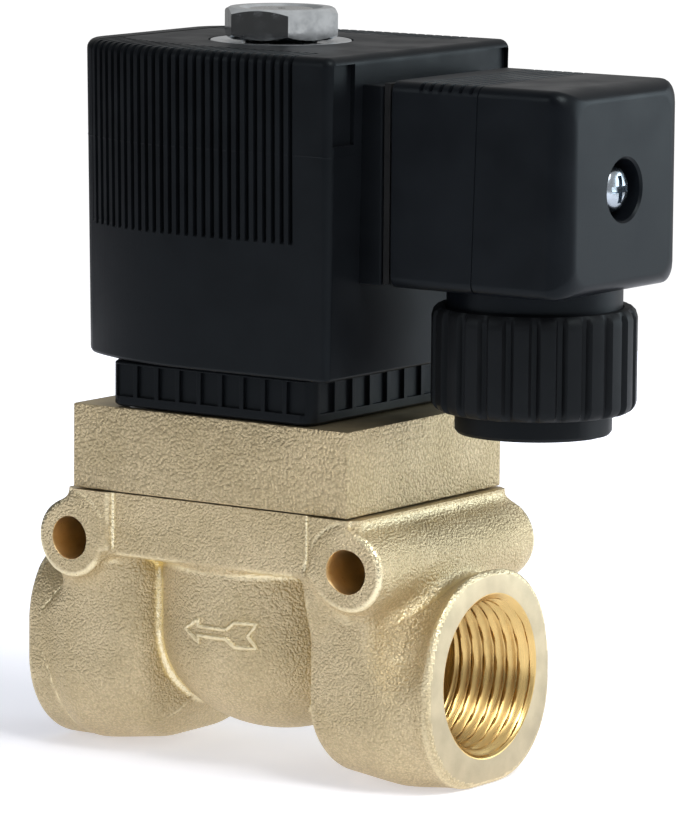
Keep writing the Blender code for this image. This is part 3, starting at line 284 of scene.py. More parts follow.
def surface_net(field, low, high, step):
    """Points and quads of the zero surface of field(x, y, z), one point in each cell that it crosses."""
    axes = [np.arange(a, b + step, step) for a, b in zip(low, high)]
    values = field(*np.meshgrid(*axes, indexing="ij"))
    cells = tuple(n - 1 for n in values.shape)
    total, count = np.zeros((*cells, 3)), np.zeros(cells)
    crossings = []
    for axis in range(3):
        first = np.take(values, range(cells[axis]), axis)
        second = np.take(values, range(1, cells[axis] + 1), axis)
        crossed = (first < 0) != (second < 0)
        share = np.where(crossed, first / np.where(crossed, first - second, 1), 0)
        place = np.stack(np.meshgrid(*[np.arange(n, dtype=float) for n in first.shape], indexing="ij"), -1)
        place[..., axis] += share
        place *= crossed[..., None]
        others = [a for a in range(3) if a != axis]
        for i in (0, 1):
            for j in (0, 1):
                window = [slice(None)] * 3
                window[others[0]] = slice(i, i + cells[others[0]])
                window[others[1]] = slice(j, j + cells[others[1]])
                total += place[tuple(window)]
                count += crossed[tuple(window)]
        crossings.append((crossed, first < 0, others))
    used = count > 0
    index = np.full(cells, -1)
    index[used] = np.arange(used.sum())
    points = total[used] / count[used][:, None] * step + np.array(low)
    faces = []
    for axis, (crossed, inside, others) in enumerate(crossings):
        where = np.argwhere(crossed)
        edge = np.all([(where[:, o] > 0) & (where[:, o] < cells[o]) for o in others], axis=0)
        where = where[edge]
        corner = []
        for i, j in ((1, 1), (0, 1), (0, 0), (1, 0)):
            cell = where.copy()
            cell[:, others[0]] -= i
            cell[:, others[1]] -= j
            corner.append(index[tuple(cell.T)])
        quads = np.stack(corner, 1)
        flip = inside[tuple(where.T)] != (axis == 1)
        quads[~flip] = quads[~flip][:, ::-1]
        faces.append(quads)
    return settle(points, field, step), np.concatenate(faces)


def settle(points, field, step):
    """Moves points on to the surface itself, by at most half a cell."""
    small = step / 8
    moved = points.copy()
    for _ in range(3):
        here = field(*moved.T)
        slope = np.stack([
            (field(*(moved + d).T) - field(*(moved - d).T)) / small / 2 for d in np.eye(3) * small
        ], 1)
        moved -= slope * (here / np.clip((slope ** 2).sum(1), 0.2, None))[:, None]
    shift = moved - points
    length = np.linalg.norm(shift, axis=1, keepdims=True)
    return points + shift * np.minimum(1, step / 2 / np.clip(length, 1e-9, None))


def curvature(points, field, reach):
    """How much the surface bulges (+) or hollows (-) at each point, per mm."""
    here = field(*points.T)
    around = sum(field(*(points + s * d).T) for d in np.eye(3) * reach for s in (-1, 1))
    return (around - 6 * here) / reach ** 2


# ---- materials
def fill(node, values):
    """Sets a node's inputs by name, with _ for a space."""
    for name, value in values.items():
        node.inputs[name.replace("_", " ")].default_value = value


class Graph:
    """A material's nodes, made and linked in short calls."""

    def __init__(self, name):
        self.material = bpy.data.materials.new(name)
        self.material.use_nodes = True
        self.nodes = self.material.node_tree.nodes
        self.links = self.material.node_tree.links
        self.shader = self.nodes["Principled BSDF"]
        self.place = self.nodes.new("ShaderNodeTexCoord").outputs["Object"]

    def set(self, **values):
        fill(self.shader, values)

    def make(self, kind, **values):
        node = self.nodes.new("ShaderNode" + kind)
        fill(node, values)
        return node

    def put(self, source, target):
        if hasattr(source, "is_linked"):
            self.links.new(source, target)
        else:
            target.default_value = source

    def noise(self, size, detail=2.0, roughness=0.5, stretch=(1, 1, 1)):
        """Noise with features about size mm across, from 0 to 1."""
        mapping = self.make("Mapping", Scale=stretch)
        self.links.new(self.place, mapping.inputs["Vector"])
        node = self.make("TexNoise", Scale=1 / (size * MM), Detail=detail, Roughness=roughness)
        self.links.new(mapping.outputs["Vector"], node.inputs["Vector"])
        return node.outputs["Fac"]

    def pebbles(self, size):
        """Rounded bumps about size mm apart, from 0 to 1."""
        node = self.make("TexVoronoi")
        node.feature = "SMOOTH_F1"
        fill(node, {"Scale": 1 / (size * MM), "Smoothness": 0.6})
        self.links.new(self.place, node.inputs["Vector"])
        return node.outputs["Distance"]

    def spread(self, value, low, high, to_low=0.0, to_high=1.0):
        node = self.make("MapRange", From_Min=low, From_Max=high, To_Min=to_low, To_Max=to_high)
        self.links.new(value, node.inputs["Value"])
        return node.outputs["Result"]

    def math(self, operation, a, b):
        node = self.make("Math")
        node.operation = operation
        self.put(a, node.inputs[0])
        self.put(b, node.inputs[1])
        return node.outputs[0]

    def mix(self, share, a, b):
        """Colour a where share is 0 and b where it is 1."""
        node = self.make("Mix")
        node.data_type = "RGBA"
        self.put(share, node.inputs[0])
        self.put(a if hasattr(a, "is_linked") else (*a, 1), node.inputs[6])
        self.put(b if hasattr(b, "is_linked") else (*b, 1), node.inputs[7])
        return node.outputs[2]

    def attribute(self, name):
        node = self.make("Attribute")
        node.attribute_name = name
        return node.outputs["Fac"]

    def colour(self, source):
        self.links.new(source, self.shader.inputs["Base Color"])

    def rough(self, source):
        self.links.new(source, self.shader.inputs["Roughness"])

    def bump(self, height, depth):
        """Relief of depth mm where height goes from 0 to 1; a second call adds to the first."""
        node = self.make("Bump", Strength=1.0, Distance=depth * MM)
        self.links.new(height, node.inputs["Height"])
        target = self.shader.inputs["Normal"]
        if target.is_linked:
            self.links.new(target.links[0].from_socket, node.inputs["Normal"])
        self.links.new(node.outputs["Normal"], target)


GOLD_PALE = (0.80, 0.67, 0.435)
GOLD_DEEP = (0.70, 0.58, 0.36)
GOLD_PIT = (0.34, 0.265, 0.145)
GOLD_BRIGHT = (0.95, 0.84, 0.56)
GOLD_HOT = (0.92, 0.72, 0.42)
COOL_SHEEN = (0.82, 0.95, 1.0, 1.0)
TOOL_MARK_DEPTH = 0.006


def blasted_brass(name, grain, depth, pits):
    """Bead-blasted forging: pebbled and matt, brighter and smoother along ridges and hollows: worn metal on
    the ridges, painted highlight in the hollows.
    """
    look = Graph(name)
    look.set(Metallic=1.0)
    pebble = look.pebbles(grain)
    fine = look.noise(0.16, 2.0)
    broad = look.noise(7.0, 3.0)
    # Brighter colour where this mask is high: wear on ridges, painted highlight in hollows.
    wear_and_highlight = look.spread(look.attribute("polish_and_highlight"), 0.15, 0.85)
    tone = look.mix(look.spread(broad, 0.35, 0.65), GOLD_DEEP, GOLD_PALE)
    speck = look.mix(look.spread(pebble, 0.2, 0.65, 0.0, pits), tone, GOLD_PIT)
    look.colour(look.mix(wear_and_highlight, speck, GOLD_BRIGHT))
    matt = look.spread(fine, 0.3, 0.7, 0.40, 0.56)
    look.rough(look.math("SUBTRACT", matt, look.math("MULTIPLY", wear_and_highlight, 0.18)))
    keep = look.math("SUBTRACT", 1.0, look.math("MULTIPLY", wear_and_highlight, 0.75))
    look.bump(look.math("MULTIPLY", pebble, keep), depth)
    look.bump(look.math("MULTIPLY", fine, keep), depth * 0.5)
    return look.material


def machined_brass(name, base, roughness, ring, stretch=(1, 1, 1)):
    """Turned or milled brass with fine tool marks."""
    look = Graph(name)
    look.set(Metallic=1.0)
    marks = look.noise(ring, 2.0, 0.6, stretch)
    broad = look.noise(4.0, 2.0)
    deep = tuple(c * 0.82 for c in base)
    look.colour(look.mix(look.spread(broad, 0.35, 0.65), deep, base))
    look.rough(look.spread(marks, 0.3, 0.7, roughness - 0.05, roughness + 0.07))
    look.bump(marks, TOOL_MARK_DEPTH)
    return look.material


def moulded_plastic(name, base, low, high, grain=0.22, depth=0.012, specular=0.11):
    """Satin moulding with a faint spark-eroded grain and slightly uneven gloss."""
    look = Graph(name)
    look.set(Specular_IOR_Level=specular, Specular_Tint=COOL_SHEEN)
    fine = look.noise(grain, 3.0, 0.6)
    broad = look.noise(6.0, 3.0)
    light = tuple(c * 1.35 for c in base)
    look.colour(look.mix(look.spread(broad, 0.3, 0.7), base, light))
    look.rough(look.spread(broad, 0.35, 0.65, low, high))
    look.bump(fine, depth)
    return look.material


def plated_steel(name, base, roughness):
    """Bright zinc or turned steel, with a light brushed grain and cloudy plating."""
    look = Graph(name)
    look.set(Metallic=1.0)
    cloud = look.noise(1.8, 3.0)
    marks = look.noise(0.3, 2.0, 0.6, (1, 1, 0.15))
    dull = tuple(c * 0.8 for c in base)
    look.colour(look.mix(look.spread(cloud, 0.35, 0.7), base, dull))
    look.rough(look.spread(cloud, 0.3, 0.7, roughness - 0.05, roughness + 0.12))
    look.bump(marks, TOOL_MARK_DEPTH)
    return look.material


def rubber():
    look = Graph("black_rubber")
    look.set(Specular_IOR_Level=0.3)
    fine = look.noise(0.12, 3.0)
    cloud = look.spread(look.noise(2.5), 0.3, 0.7)
    look.colour(look.mix(cloud, (0.004, 0.0045, 0.005), (0.009, 0.0095, 0.010)))
    look.rough(look.spread(fine, 0.3, 0.7, 0.62, 0.8))
    look.bump(fine, 0.02)
    return look.material


def copper_wire():
    """Enamelled wire wound in level layers."""
    look = Graph("copper_winding")
    look.set(Metallic=1.0)
    wire = 0.3
    wave = look.make("TexWave", Scale=1 / (wire * MM) / 20)
    wave.bands_direction = "Z"
    look.links.new(look.place, wave.inputs["Vector"])
    turns = wave.outputs["Fac"]
    # Colour darkens between the turns: painted shade in the grooves, on the same bands as the relief.
    look.colour(look.mix(turns, (0.35, 0.10, 0.03), (0.85, 0.38, 0.16)))
    look.rough(look.spread(look.noise(0.8), 0.3, 0.7, 0.25, 0.4))
    look.bump(turns, 0.12)
    return look.material


BLASTED = blasted_brass("blasted_brass", 0.32, 0.27, 0.4)
BLOCK_BRASS = blasted_brass("blasted_block_brass", 0.38, 0.48, 0.5)
PORT_FACE = machined_brass("machined_port_face", (0.56, 0.47, 0.31), 0.40, 0.25)
THREAD_BRASS = machined_brass("threaded_brass", (0.76, 0.53, 0.21), 0.28, 0.2, (1, 0.04, 0.04))
HOLE_BRASS = machined_brass("drilled_brass", GOLD_HOT, 0.32, 0.2)
MILLED_TOP = machined_brass("milled_brass", (0.68, 0.57, 0.37), 0.46, 0.3)
TURNED_BRASS = machined_brass("turned_brass", (0.80, 0.62, 0.32), 0.25, 0.15)
COIL_BLACK = moulded_plastic("coil_black", (0.0042, 0.0050, 0.0062), 0.36, 0.46)
PLUG_BLACK = moulded_plastic("plug_black", (0.0036, 0.0044, 0.0060), 0.33, 0.42, 0.18, 0.008, 0.13)
SKIRT_BLACK = moulded_plastic("skirt_black", (0.0040, 0.0046, 0.0056), 0.38, 0.5)
GLAND_BLACK = moulded_plastic("gland_black", (0.0060, 0.0064, 0.0072), 0.40, 0.52)
NYLON = moulded_plastic("grey_nylon", (0.05, 0.05, 0.055), 0.4, 0.55, specular=0.4)
WHITE_NYLON = moulded_plastic("white_nylon", (0.55, 0.54, 0.50), 0.4, 0.5, specular=0.4)
ZINC = plated_steel("bright_zinc", (0.84, 0.88, 0.91), 0.09)
# Darker copy of the bright zinc: painted shade for the screw sunk in the plug's well.
SCREW_ZINC_PAINTED_SHADE = plated_steel("screw_zinc_painted_shade", (0.42, 0.47, 0.52), 0.2)
STEEL = plated_steel("turned_steel", (0.60, 0.60, 0.59), 0.26)
IRON = plated_steel("phosphated_iron", (0.10, 0.10, 0.11), 0.5)
RUBBER = rubber()
COPPER = copper_wire()


# ---- forged body
BELLY_RADIUS = 16.8
BELLY_CROWN = 14.0
FLANGE_FOOT = 13.1  # above the port axis
FLANGE_TOP = BODY_HIGH[2] - PORT_Z
PORT_HALF = PORT_Z - BODY_LOW[2]
EAR_Z = 15.0
EAR_RADIUS = 5.2
EAR_HALF = BODY_HIGH[1]
PAD_START = 15.9
BELLY_DROP = 4.1  # how far the belly stops above the bosses' underside
BLOCK_HALF = 15.8
BLOCK_TOP = 13.6
BLOCK_END = 27.5
BLOCK_BLEND = (30.5, 24.5)  # where the collar widens or narrows into the block
BLOCK_CORNER = (9.5, 12.0)  # inlet, outlet
BLOCK_SWELL = 1.7  # on the inlet side only, beside the ear
BOSS_START = 10.0
BOSS_START_BACK = (4.8, 1.6)  # inlet, outlet: how much further out it starts at its edges
BOSS_CORNER = 12.0
BOSS_LIFT = 1.6  # how much the underside rises towards the belly
VALLEY_X = 28.3
VALLEY_RADIUS = 16.6
VALLEY_DEPTH = 3.8
VALLEY_CLEAR = 3.0  # how far the groove stands off where there is none
FACE_TRIM = 0.03
MOUTH_RADIUS = 10.9
THREAD_CREST = 9.45
THREAD_ROOT = 10.55
THREAD_PITCH = 1.814
THREAD_LENGTH = 11.2
PORT_DEPTH = 15.0
BORE = 13.5
BORE_FLOOR = 6.1
SEAT_RADIUS = 8.5
SEAT_BORE = 6.2
SEAT_TOP = 9.6
CHAMBER_FLOOR = -1.4
PASSAGE_RADIUS = 5.1
INLET_STOP = 10.3
SCREW_HOLE = 2.2
SCREW_PLACE = (12.0, 13.2)
SCREW_FLOOR = 14.7
EAR_BORE = 2.78
NET_STEP = 0.42


def belly_field(x, y, z):
    """A bowl under a straight wall."""
    around = np.hypot(x, y)
    drop = np.clip(z - (BELLY_CROWN - (PORT_HALF - BELLY_DROP)), None, 0)
    share = np.sqrt((around / BELLY_RADIUS) ** 2 + (drop / BELLY_CROWN) ** 2) + 1e-9
    slope = np.sqrt((around / BELLY_RADIUS ** 2) ** 2 + (drop / BELLY_CROWN ** 2) ** 2) / share + 1e-9
    return np.maximum((share - 1) / slope, z - FLANGE_FOOT - 3)


def port_boss_field(x, y, z):
    """Both port bosses, the inlet at +X: a flat-fronted block, then a collar with a soft groove behind it."""
    along, inlet = np.abs(x), x > 0
    deep = PORT_HALF - BOSS_LIFT * ramp(along, 29.0, 11.0)
    collar = rounded_corner(np.abs(y) - PORT_HALF, np.maximum(z - PORT_HALF, -z - deep), BOSS_CORNER)
    half = PORT_HALF + (BLOCK_HALF - PORT_HALF) * ramp(along, *BLOCK_BLEND)
    half = half + np.where(inlet, BLOCK_SWELL * ramp(z, 4.0, 12.0) * ramp(along, 21.5, 16.0), 0)
    corner = np.where(inlet, *BLOCK_CORNER) + ramp(along, *BLOCK_BLEND[::-1]) * 2
    front = rounded_corner(np.abs(y) - half, -z - deep, corner)
    front = smooth_max(front, z - BLOCK_TOP, 1.5)
    front = smooth_max(front, along - BLOCK_END - 8.0 * ramp(z, 8.0, 1.0), 4.0)
    sides = np.minimum(collar, front)
    outer_edge = np.maximum(ramp(np.abs(y), 7.0, 12.0), ramp(-z, 6.0, 11.5))
    inner = BOSS_START + np.where(inlet, *BOSS_START_BACK) * outer_edge
    start = smooth_max(inner - along, sides, np.where(inlet, 1.0 + 1.5 * ramp(-z, 4.0, 12.0), 5.5))
    rise = np.where(inlet, ramp(z, -8.0, 4.0), ramp(z, 2.0, 13.0))
    depth = VALLEY_DEPTH * rise - VALLEY_CLEAR * (1 - rise)
    valley = np.hypot(along - VALLEY_X, np.hypot(y, z) - VALLEY_RADIUS) - depth
    boss = smooth_max(start, -valley, 2.2)
    return smooth_max(boss, along - HALF_LENGTH, 1.2)


def ears_field(x, y, z):
    ear = np.hypot(np.abs(x) - EAR_X, z - EAR_Z) - EAR_RADIUS
    return smooth_max(ear, np.abs(y) - EAR_HALF, 0.7)


def flange_field(x, y, z):
    height = FLANGE_TOP + 2 - FLANGE_FOOT
    lift = z - FLANGE_FOOT - height / 2
    middle_part = box_field(x, y, lift, (EAR_X + 1, BODY_HIGH[1] - 0.6, height / 2), 0.9)
    pad_half = ((EAR_X - PAD_START) / 2, EAR_HALF, height / 2)
    pads = box_field(np.abs(x) - (PAD_START + EAR_X) / 2, y, lift - 0.6, pad_half, 0.7)
    return smooth_min(middle_part, pads, 0.5)


def hollow_field(x, y, z):
    """Everything inside: piston bore, chamber round the seat, seat bore, cross passages and screw holes."""
    around = np.hypot(x, y)
    bore = np.maximum(around - BORE, BORE_FLOOR - z)
    seat = np.maximum(around - SEAT_RADIUS, z - SEAT_TOP)
    bore = np.maximum(bore, -seat)
    seat_bore = np.maximum(around - SEAT_BORE, -z)
    chamber = np.maximum(np.maximum(around - BORE, SEAT_RADIUS - around), np.maximum(CHAMBER_FLOOR - z, -x))
    chamber = np.maximum(chamber, z - 7)
    passage = np.hypot(y, z) - PASSAGE_RADIUS
    inlet = np.maximum(passage, INLET_STOP - x)
    outlet = np.maximum(passage, x)
    hollow = np.minimum(np.minimum(bore, seat_bore), np.minimum(chamber, np.minimum(inlet, outlet)))
    holes = np.hypot(np.abs(x) - SCREW_PLACE[0], np.abs(y) - SCREW_PLACE[1]) - SCREW_HOLE
    return np.minimum(hollow, np.maximum(holes, SCREW_FLOOR - z))


def forging_field(x, y, z):
    """The outside of the body, about the valve and port axes."""
    shape = smooth_min(port_boss_field(x, y, z), belly_field(x, y, z), 1.2)
    shape = smooth_min(shape, ears_field(x, y, z), 2.6)
    return smooth_min(shape, flange_field(x, y, z), 1.3)


def body_field(x, y, z):
    return np.maximum(forging_field(x, y, z), -hollow_field(x, y, z))


def forged_body():
    here = np.array((VALVE_X, 0, PORT_Z))
    margin = 1.2
    low = tuple(-half - margin for half in (HALF_LENGTH, EAR_HALF, PORT_HALF))
    high = (HALF_LENGTH + margin, EAR_HALF + margin, FLANGE_TOP + margin)
    points, faces = surface_net(body_field, low, high, NET_STEP)
    body = add_mesh("forged_body", points + here, faces.tolist(), None)
    polish_and_highlight = body.data.attributes.new("polish_and_highlight", "FLOAT", "POINT")
    bulge = curvature(points, forging_field, 0.5)
    # Bulges are brightened as worn metal, hollows as painted highlight.
    shine = np.clip(bulge * 0.9 - 0.5, 0, 1) + np.clip(-bulge * 1.4 - 0.35, 0, 1)
    polish_and_highlight.data.foreach_set("value", np.clip(shine, 0, 1))
    shape = bmesh.new()
    shape.from_mesh(body.data)
    planes = [
        ((BODY_LOW[0] + FACE_TRIM, 0, 0), (-1, 0, 0)),
        ((BODY_HIGH[0] - FACE_TRIM, 0, 0), (1, 0, 0)),
        ((0, 0, BODY_HIGH[2]), (0, 0, 1)),
    ]
    for place, normal in planes:
        everything = shape.verts[:] + shape.edges[:] + shape.faces[:]
        found = bmesh.ops.bisect_plane(
            shape, geom=everything, plane_co=Vector(place) * MM, plane_no=normal, clear_outer=True, dist=1e-7
        )
        edges = [e for e in found["geom_cut"] if isinstance(e, bmesh.types.BMEdge)]
        bmesh.ops.triangle_fill(shape, edges=edges, use_beauty=True, normal=normal)
    bmesh.ops.recalc_face_normals(shape, faces=shape.faces)
    shape.to_mesh(body.data)
    shape.free()
    cutters = []
    for side in (-1, 1):
        face = VALVE_X + side * HALF_LENGTH
        ends = sorted((face - side * PORT_DEPTH, face + side))
        cutters.append(cylinder(MOUTH_RADIUS, *ends, (0, 0, PORT_Z), "X", 128))
    carve(body, cutters)
    carve(body, [ear_hole(VALVE_X + side * EAR_X) for side in (-1, 1)])
    finish_body(body)
    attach(body, "valve")
    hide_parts("valve_body")


def ear_hole(x):
    """A drilled cross hole with a small countersink at each end."""
    sink = 0.25
    mouth, edge = EAR_BORE + sink + 0.3, EAR_HALF - sink * 0.7
    profile = [(mouth, -EAR_HALF - 1), (EAR_BORE, -edge), (EAR_BORE, edge), (mouth, EAR_HALF + 1)]
    return turned_cutter(profile, (x, 0, PORT_Z + EAR_Z), "Y", 64)


def finish_body(body):
    """Gives the machined faces and the drilled holes their own materials."""
    mesh = body.data
    mesh.materials.clear()
    for material in (BLASTED, PORT_FACE, HOLE_BRASS, MILLED_TOP):
        mesh.materials.append(material)
    centres, normals = np.zeros((2, len(mesh.polygons), 3))
    mesh.polygons.foreach_get("center", centres.reshape(-1))
    mesh.polygons.foreach_get("normal", normals.reshape(-1))
    centres = centres / MM - np.array((VALVE_X, 0, PORT_Z))
    kind = np.zeros(len(mesh.polygons), int)
    at_end = (np.abs(centres[:, 0]) > HALF_LENGTH - 2 * FACE_TRIM) & (np.abs(normals[:, 0]) > 0.95)
    kind[at_end] = 1
    from_hole = np.hypot(np.abs(centres[:, 0]) - EAR_X, centres[:, 2] - EAR_Z)
    hole_edge = 3.1
    kind[(from_hole < hole_edge) & (np.abs(normals[:, 1]) < 0.9)] = 2
    kind[(centres[:, 2] > FLANGE_TOP - 0.02) & (normals[:, 2] > 0.95)] = 3
    mesh.polygons.foreach_set("material_index", kind)
    mesh.update()


def port_thread(side):
    """A lining of the tapped port: chamfered mouth, thread, and plain bore with a coned floor."""
    name = "inlet_thread" if side > 0 else "outlet_thread"
    steps, per_pitch = 128, 16
    turns = np.arange(steps) * 2 * math.pi / steps
    depths = np.arange(0.04, PORT_DEPTH, THREAD_PITCH / per_pitch)
    face = VALVE_X + side * HALF_LENGTH
    rings = []
    for depth in depths:
        share = (depth / THREAD_PITCH - turns / (2 * math.pi)) % 1
        tooth = 1 - np.abs(2 * share - 1)
        tooth = 0.55 * tooth + 0.45 * tooth * tooth * (3 - 2 * tooth)
        fade = ramp(depth, THREAD_LENGTH + 1.0, THREAD_LENGTH)
        thread = THREAD_CREST + 0.15 + (THREAD_ROOT - THREAD_CREST - 0.15) * tooth * fade
        chamfer = MOUTH_RADIUS - 0.06 - depth * 1.05
        rings.append((np.maximum(thread, chamfer), depth))
    outside, throat = MOUTH_RADIUS + 0.25, 6.3
    rings += [(throat, PORT_DEPTH - 0.05), (outside, PORT_DEPTH - 0.02), (outside, 0.5)]
    rings.append((MOUTH_RADIUS - 0.01, 0.04))
    placed = [
        np.stack((np.full(steps, face - side * depth), r * np.cos(turns), PORT_Z + r * np.sin(turns)), 1)
        for r, depth in rings
    ]
    add_mesh(name, *loft(placed, closed=True), "valve", slot="brass", smooth=50, material=THREAD_BRASS)


def flow_arrow():
    """A plain arrow raised on the belly, pointing from the inlet to the outlet."""
    z = 4.6
    head = ((-4.6, 0), (-2.2, 1.5), (-2.2, 0.6), (2.2, 0.6))
    tail = ((2.2, 0.6), (3.4, 1.6), (6.3, 1.6), (5.2, 0))
    strokes = [[(x, z + side * lift) for x, lift in half] for half in (head, tail) for side in (1, -1)]
    curve = bpy.data.curves.new("flow_arrow", "CURVE")
    curve.dimensions = "3D"
    curve.bevel_depth = 0.36 * MM
    curve.bevel_resolution = 3
    curve.use_fill_caps = True
    for stroke in strokes:
        path = []
        for (x0, z0), (x1, z1) in zip(stroke, stroke[1:]):
            count = max(2, int(math.hypot(x1 - x0, z1 - z0) / 0.5))
            path += [(x0 + (x1 - x0) * i / count, z0 + (z1 - z0) * i / count) for i in range(count)]
        path.append(stroke[-1])
        spline = curve.splines.new("POLY")
        spline.points.add(len(path) - 1)
        for point, (x, high) in zip(spline.points, path):
            y = -math.sqrt(BELLY_RADIUS ** 2 - x * x) + 0.12
            point.co = ((VALVE_X + x) * MM, y * MM, (PORT_Z + high) * MM, 1)
    guide = in_scene("guide", curve)
    mesh = baked_mesh(guide)
    bpy.data.objects.remove(guide, do_unlink=True)
    obj = add_object("flow_arrow", mesh, "valve", smooth=60, material=BLASTED)
    # The raised arrow gets the same brightening: partly wear, partly painted highlight.
    polish_and_highlight = obj.data.attributes.new("polish_and_highlight", "FLOAT", "POINT")
    polish_and_highlight.data.foreach_set("value", np.full(len(obj.data.vertices), 0.6))


# ---- bonnet
def bonnet():
    piece = block(BONNET_LOW, BONNET_HIGH)
    piece.name = "bonnet_block"
    soften(piece, 0.22, 2)
    cutters = [
        cylinder(7.75, BONNET_HIGH[2] - 4.4, BONNET_HIGH[2] + 1, (PILOT_X, 0)),
        cylinder(9.4, BONNET_HIGH[2] - 1.75, BONNET_HIGH[2] + 1, (PILOT_X, 0)),
        cylinder(2.45, BONNET_HIGH[2] - 7.0, BONNET_HIGH[2] - 3, (PILOT_X, 0)),
        cylinder(7.2, BONNET_LOW[2] - 1, BONNET_LOW[2] + 1.5, (VALVE_X, 0)),
    ]
    for number in range(1, 5):
        x, y, _ = middle(f"bonnet_screw_{number}")
        cutters.append(cylinder(2.15, BONNET_LOW[2] - 1, BONNET_HIGH[2] + 1, (x, y), steps=32))
        cutters.append(cylinder(3.55, BONNET_HIGH[2] - 4.4, BONNET_HIGH[2] + 1, (x, y), steps=48))
    carve(piece, cutters)
    mesh = piece.data
    mesh.materials.clear()
    mesh.materials.append(BLOCK_BRASS)
    mesh.materials.append(MILLED_TOP)
    for face in mesh.polygons:
        face.material_index = 1 if abs(face.normal.z) > 0.6 else 0
    mesh.attributes.new("polish_and_highlight", "FLOAT", "POINT")
    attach(piece, "valve")
    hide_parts("bonnet")


# ---- skirt under the coil
def skirt():
    low, high = box_mm("coil_base_skirt")
    centre = (low + high) / 2
    half = (high - low) / 2
    radius = 1.8
    reach = half - radius
    outline = np.concatenate([
        arc_points((centre[0] + sx * reach[0], sy * reach[1]), radius, start, start + 90, 8)
        for sx, sy, start in ((1, 1, 0), (-1, 1, 90), (-1, -1, 180), (1, -1, 270))
    ])
    levels = [(low[2], 0.3), (low[2] + 0.3, 0.0), (high[2] - 0.3, 0.0), (high[2], 0.3)]
    rings = []
    for z, inset in levels:
        scale = 1 - inset / half[:2]
        flat = (outline - centre[:2]) * scale + centre[:2]
        rings.append(np.column_stack((flat, np.full(len(flat), z))))
    piece = add_mesh("skirt", *loft(rings), None)
    pockets = []
    depth, foot = 0.5, low[2] + 1.35
    for count, pitch, wide, along in ((9, 3.42, 2.75, 0), (8, 3.95, 3.2, 1)):
        across = 1 - along
        for i in range(count):
            u = centre[along] + (i - (count - 1) / 2) * pitch
            for side in (-1, 1):
                start, end = [0, 0, foot], [0, 0, high[2] - 0.5]
                start[along], end[along] = u - wide / 2, u + wide / 2
                ends = sorted((side * (half[across] - depth), side * (half[across] + 1)))
                start[across], end[across] = centre[across] + ends[0], centre[across] + ends[1]
                pockets.append(block(start, end))
    carve(piece, [joined(pockets)])
    soften(piece, 0.12, 2, 40)
    room = [
        block((low[0] + 2.6, low[1] + 2.6, low[2] - 1), (high[0] - 2.6, high[1] - 2.6, high[2] - 1.8)),
        cylinder(6.2, high[2] - 3, high[2] + 1, (PILOT_X, 0)),
    ]
    carve(piece, room)
    hand_over(piece, "coil_skirt", "coil", ["coil_base_skirt"], SKIRT_BLACK)


def hand_over(obj, name, body, nodes, material):
    """Names a finished piece, gives it its material and ties it to its body and CAD nodes."""
    even_shading(obj)
    obj.name = name
    obj.data.materials.clear()
    obj.data.materials.append(material)
    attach(obj, body)
    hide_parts(*nodes)
    return obj


# ---- coil
COIL_CHEEK = 39.0
COIL_BLUNT = 7.0
COIL_EDGE = 1.5
COIL_TOP_EDGE = 1.3
COIL_FOOT = SHELL_LOW[2]
COIL_TOP = SHELL_HIGH[2]
COIL_HALF = (22.6, SHELL_HIGH[1])
COIL_DRAFT = 0.6
GROOVES = 27
GROOVE_PITCH = 1.37
GROOVE_END = 6.2  # world x of the rib band's plug side
GROOVE_DEPTH = 0.7
GROOVE_FOOT = 71.6
GROOVE_BAND = 4.6  # how far the ribs run over the top
SEAM_HEIGHT = 11.0  # over the foot of the ribs
CAVITY_TOP = COIL_TOP - 4.2
GROOVE_SECTION = ((0.0, 0.0), (0.5, 0.0), (0.6, 0.35), (0.68, 0.95), (0.8, 1.0), (0.92, 0.95), (0.98, 0.35))


def coil_side():
    """Points of the side at +Y, from the plug to the outlet: x, y, outward normal, groove share."""
    half_x, half_y = COIL_HALF
    rows = [(half_x - COIL_EDGE, half_y, 0.0, 1.0, 0.0)]
    start = GROOVE_END - PILOT_X
    places = []
    for i in range(GROOVES):
        for share, deep in GROOVE_SECTION:
            places.append((start - (i + share) * GROOVE_PITCH, deep))
    places.append((start - GROOVES * GROOVE_PITCH, 0.0))
    for x, deep in places:
        bend = math.asin(min(0.0, x) / COIL_CHEEK)
        y = half_y - COIL_CHEEK * (1 - math.cos(bend))
        rows.append((x, y, math.sin(bend), math.cos(bend), deep))
    return rows


def coil_outline():
    half_x, half_y = COIL_HALF
    lean = math.asin((half_x - COIL_BLUNT) / (COIL_CHEEK - COIL_BLUNT))
    rows = []
    for angle in np.radians(np.linspace(0, 78, 7)):
        c, s = math.cos(angle), math.sin(angle)
        rows.append((half_x - COIL_EDGE + COIL_EDGE * c, half_y - COIL_EDGE + COIL_EDGE * s, c, s, 0.0))
    band_start = len(rows) + 1
    rows += coil_side()
    band_end = len(rows)
    turn = math.pi / 2 + lean
    reach = COIL_CHEEK - COIL_BLUNT
    centre = (reach * math.cos(turn), half_y - COIL_CHEEK + reach * math.sin(turn))
    for angle in np.linspace(turn, math.pi, 9):
        c, s = math.cos(angle), math.sin(angle)
        rows.append((centre[0] + COIL_BLUNT * c, centre[1] + COIL_BLUNT * s, c, s, 0.0))
    upper = np.array(rows)
    lower = upper[::-1] * np.array((1, -1, 1, -1, 1))
    return np.concatenate((upper, lower)), (band_start, band_end)


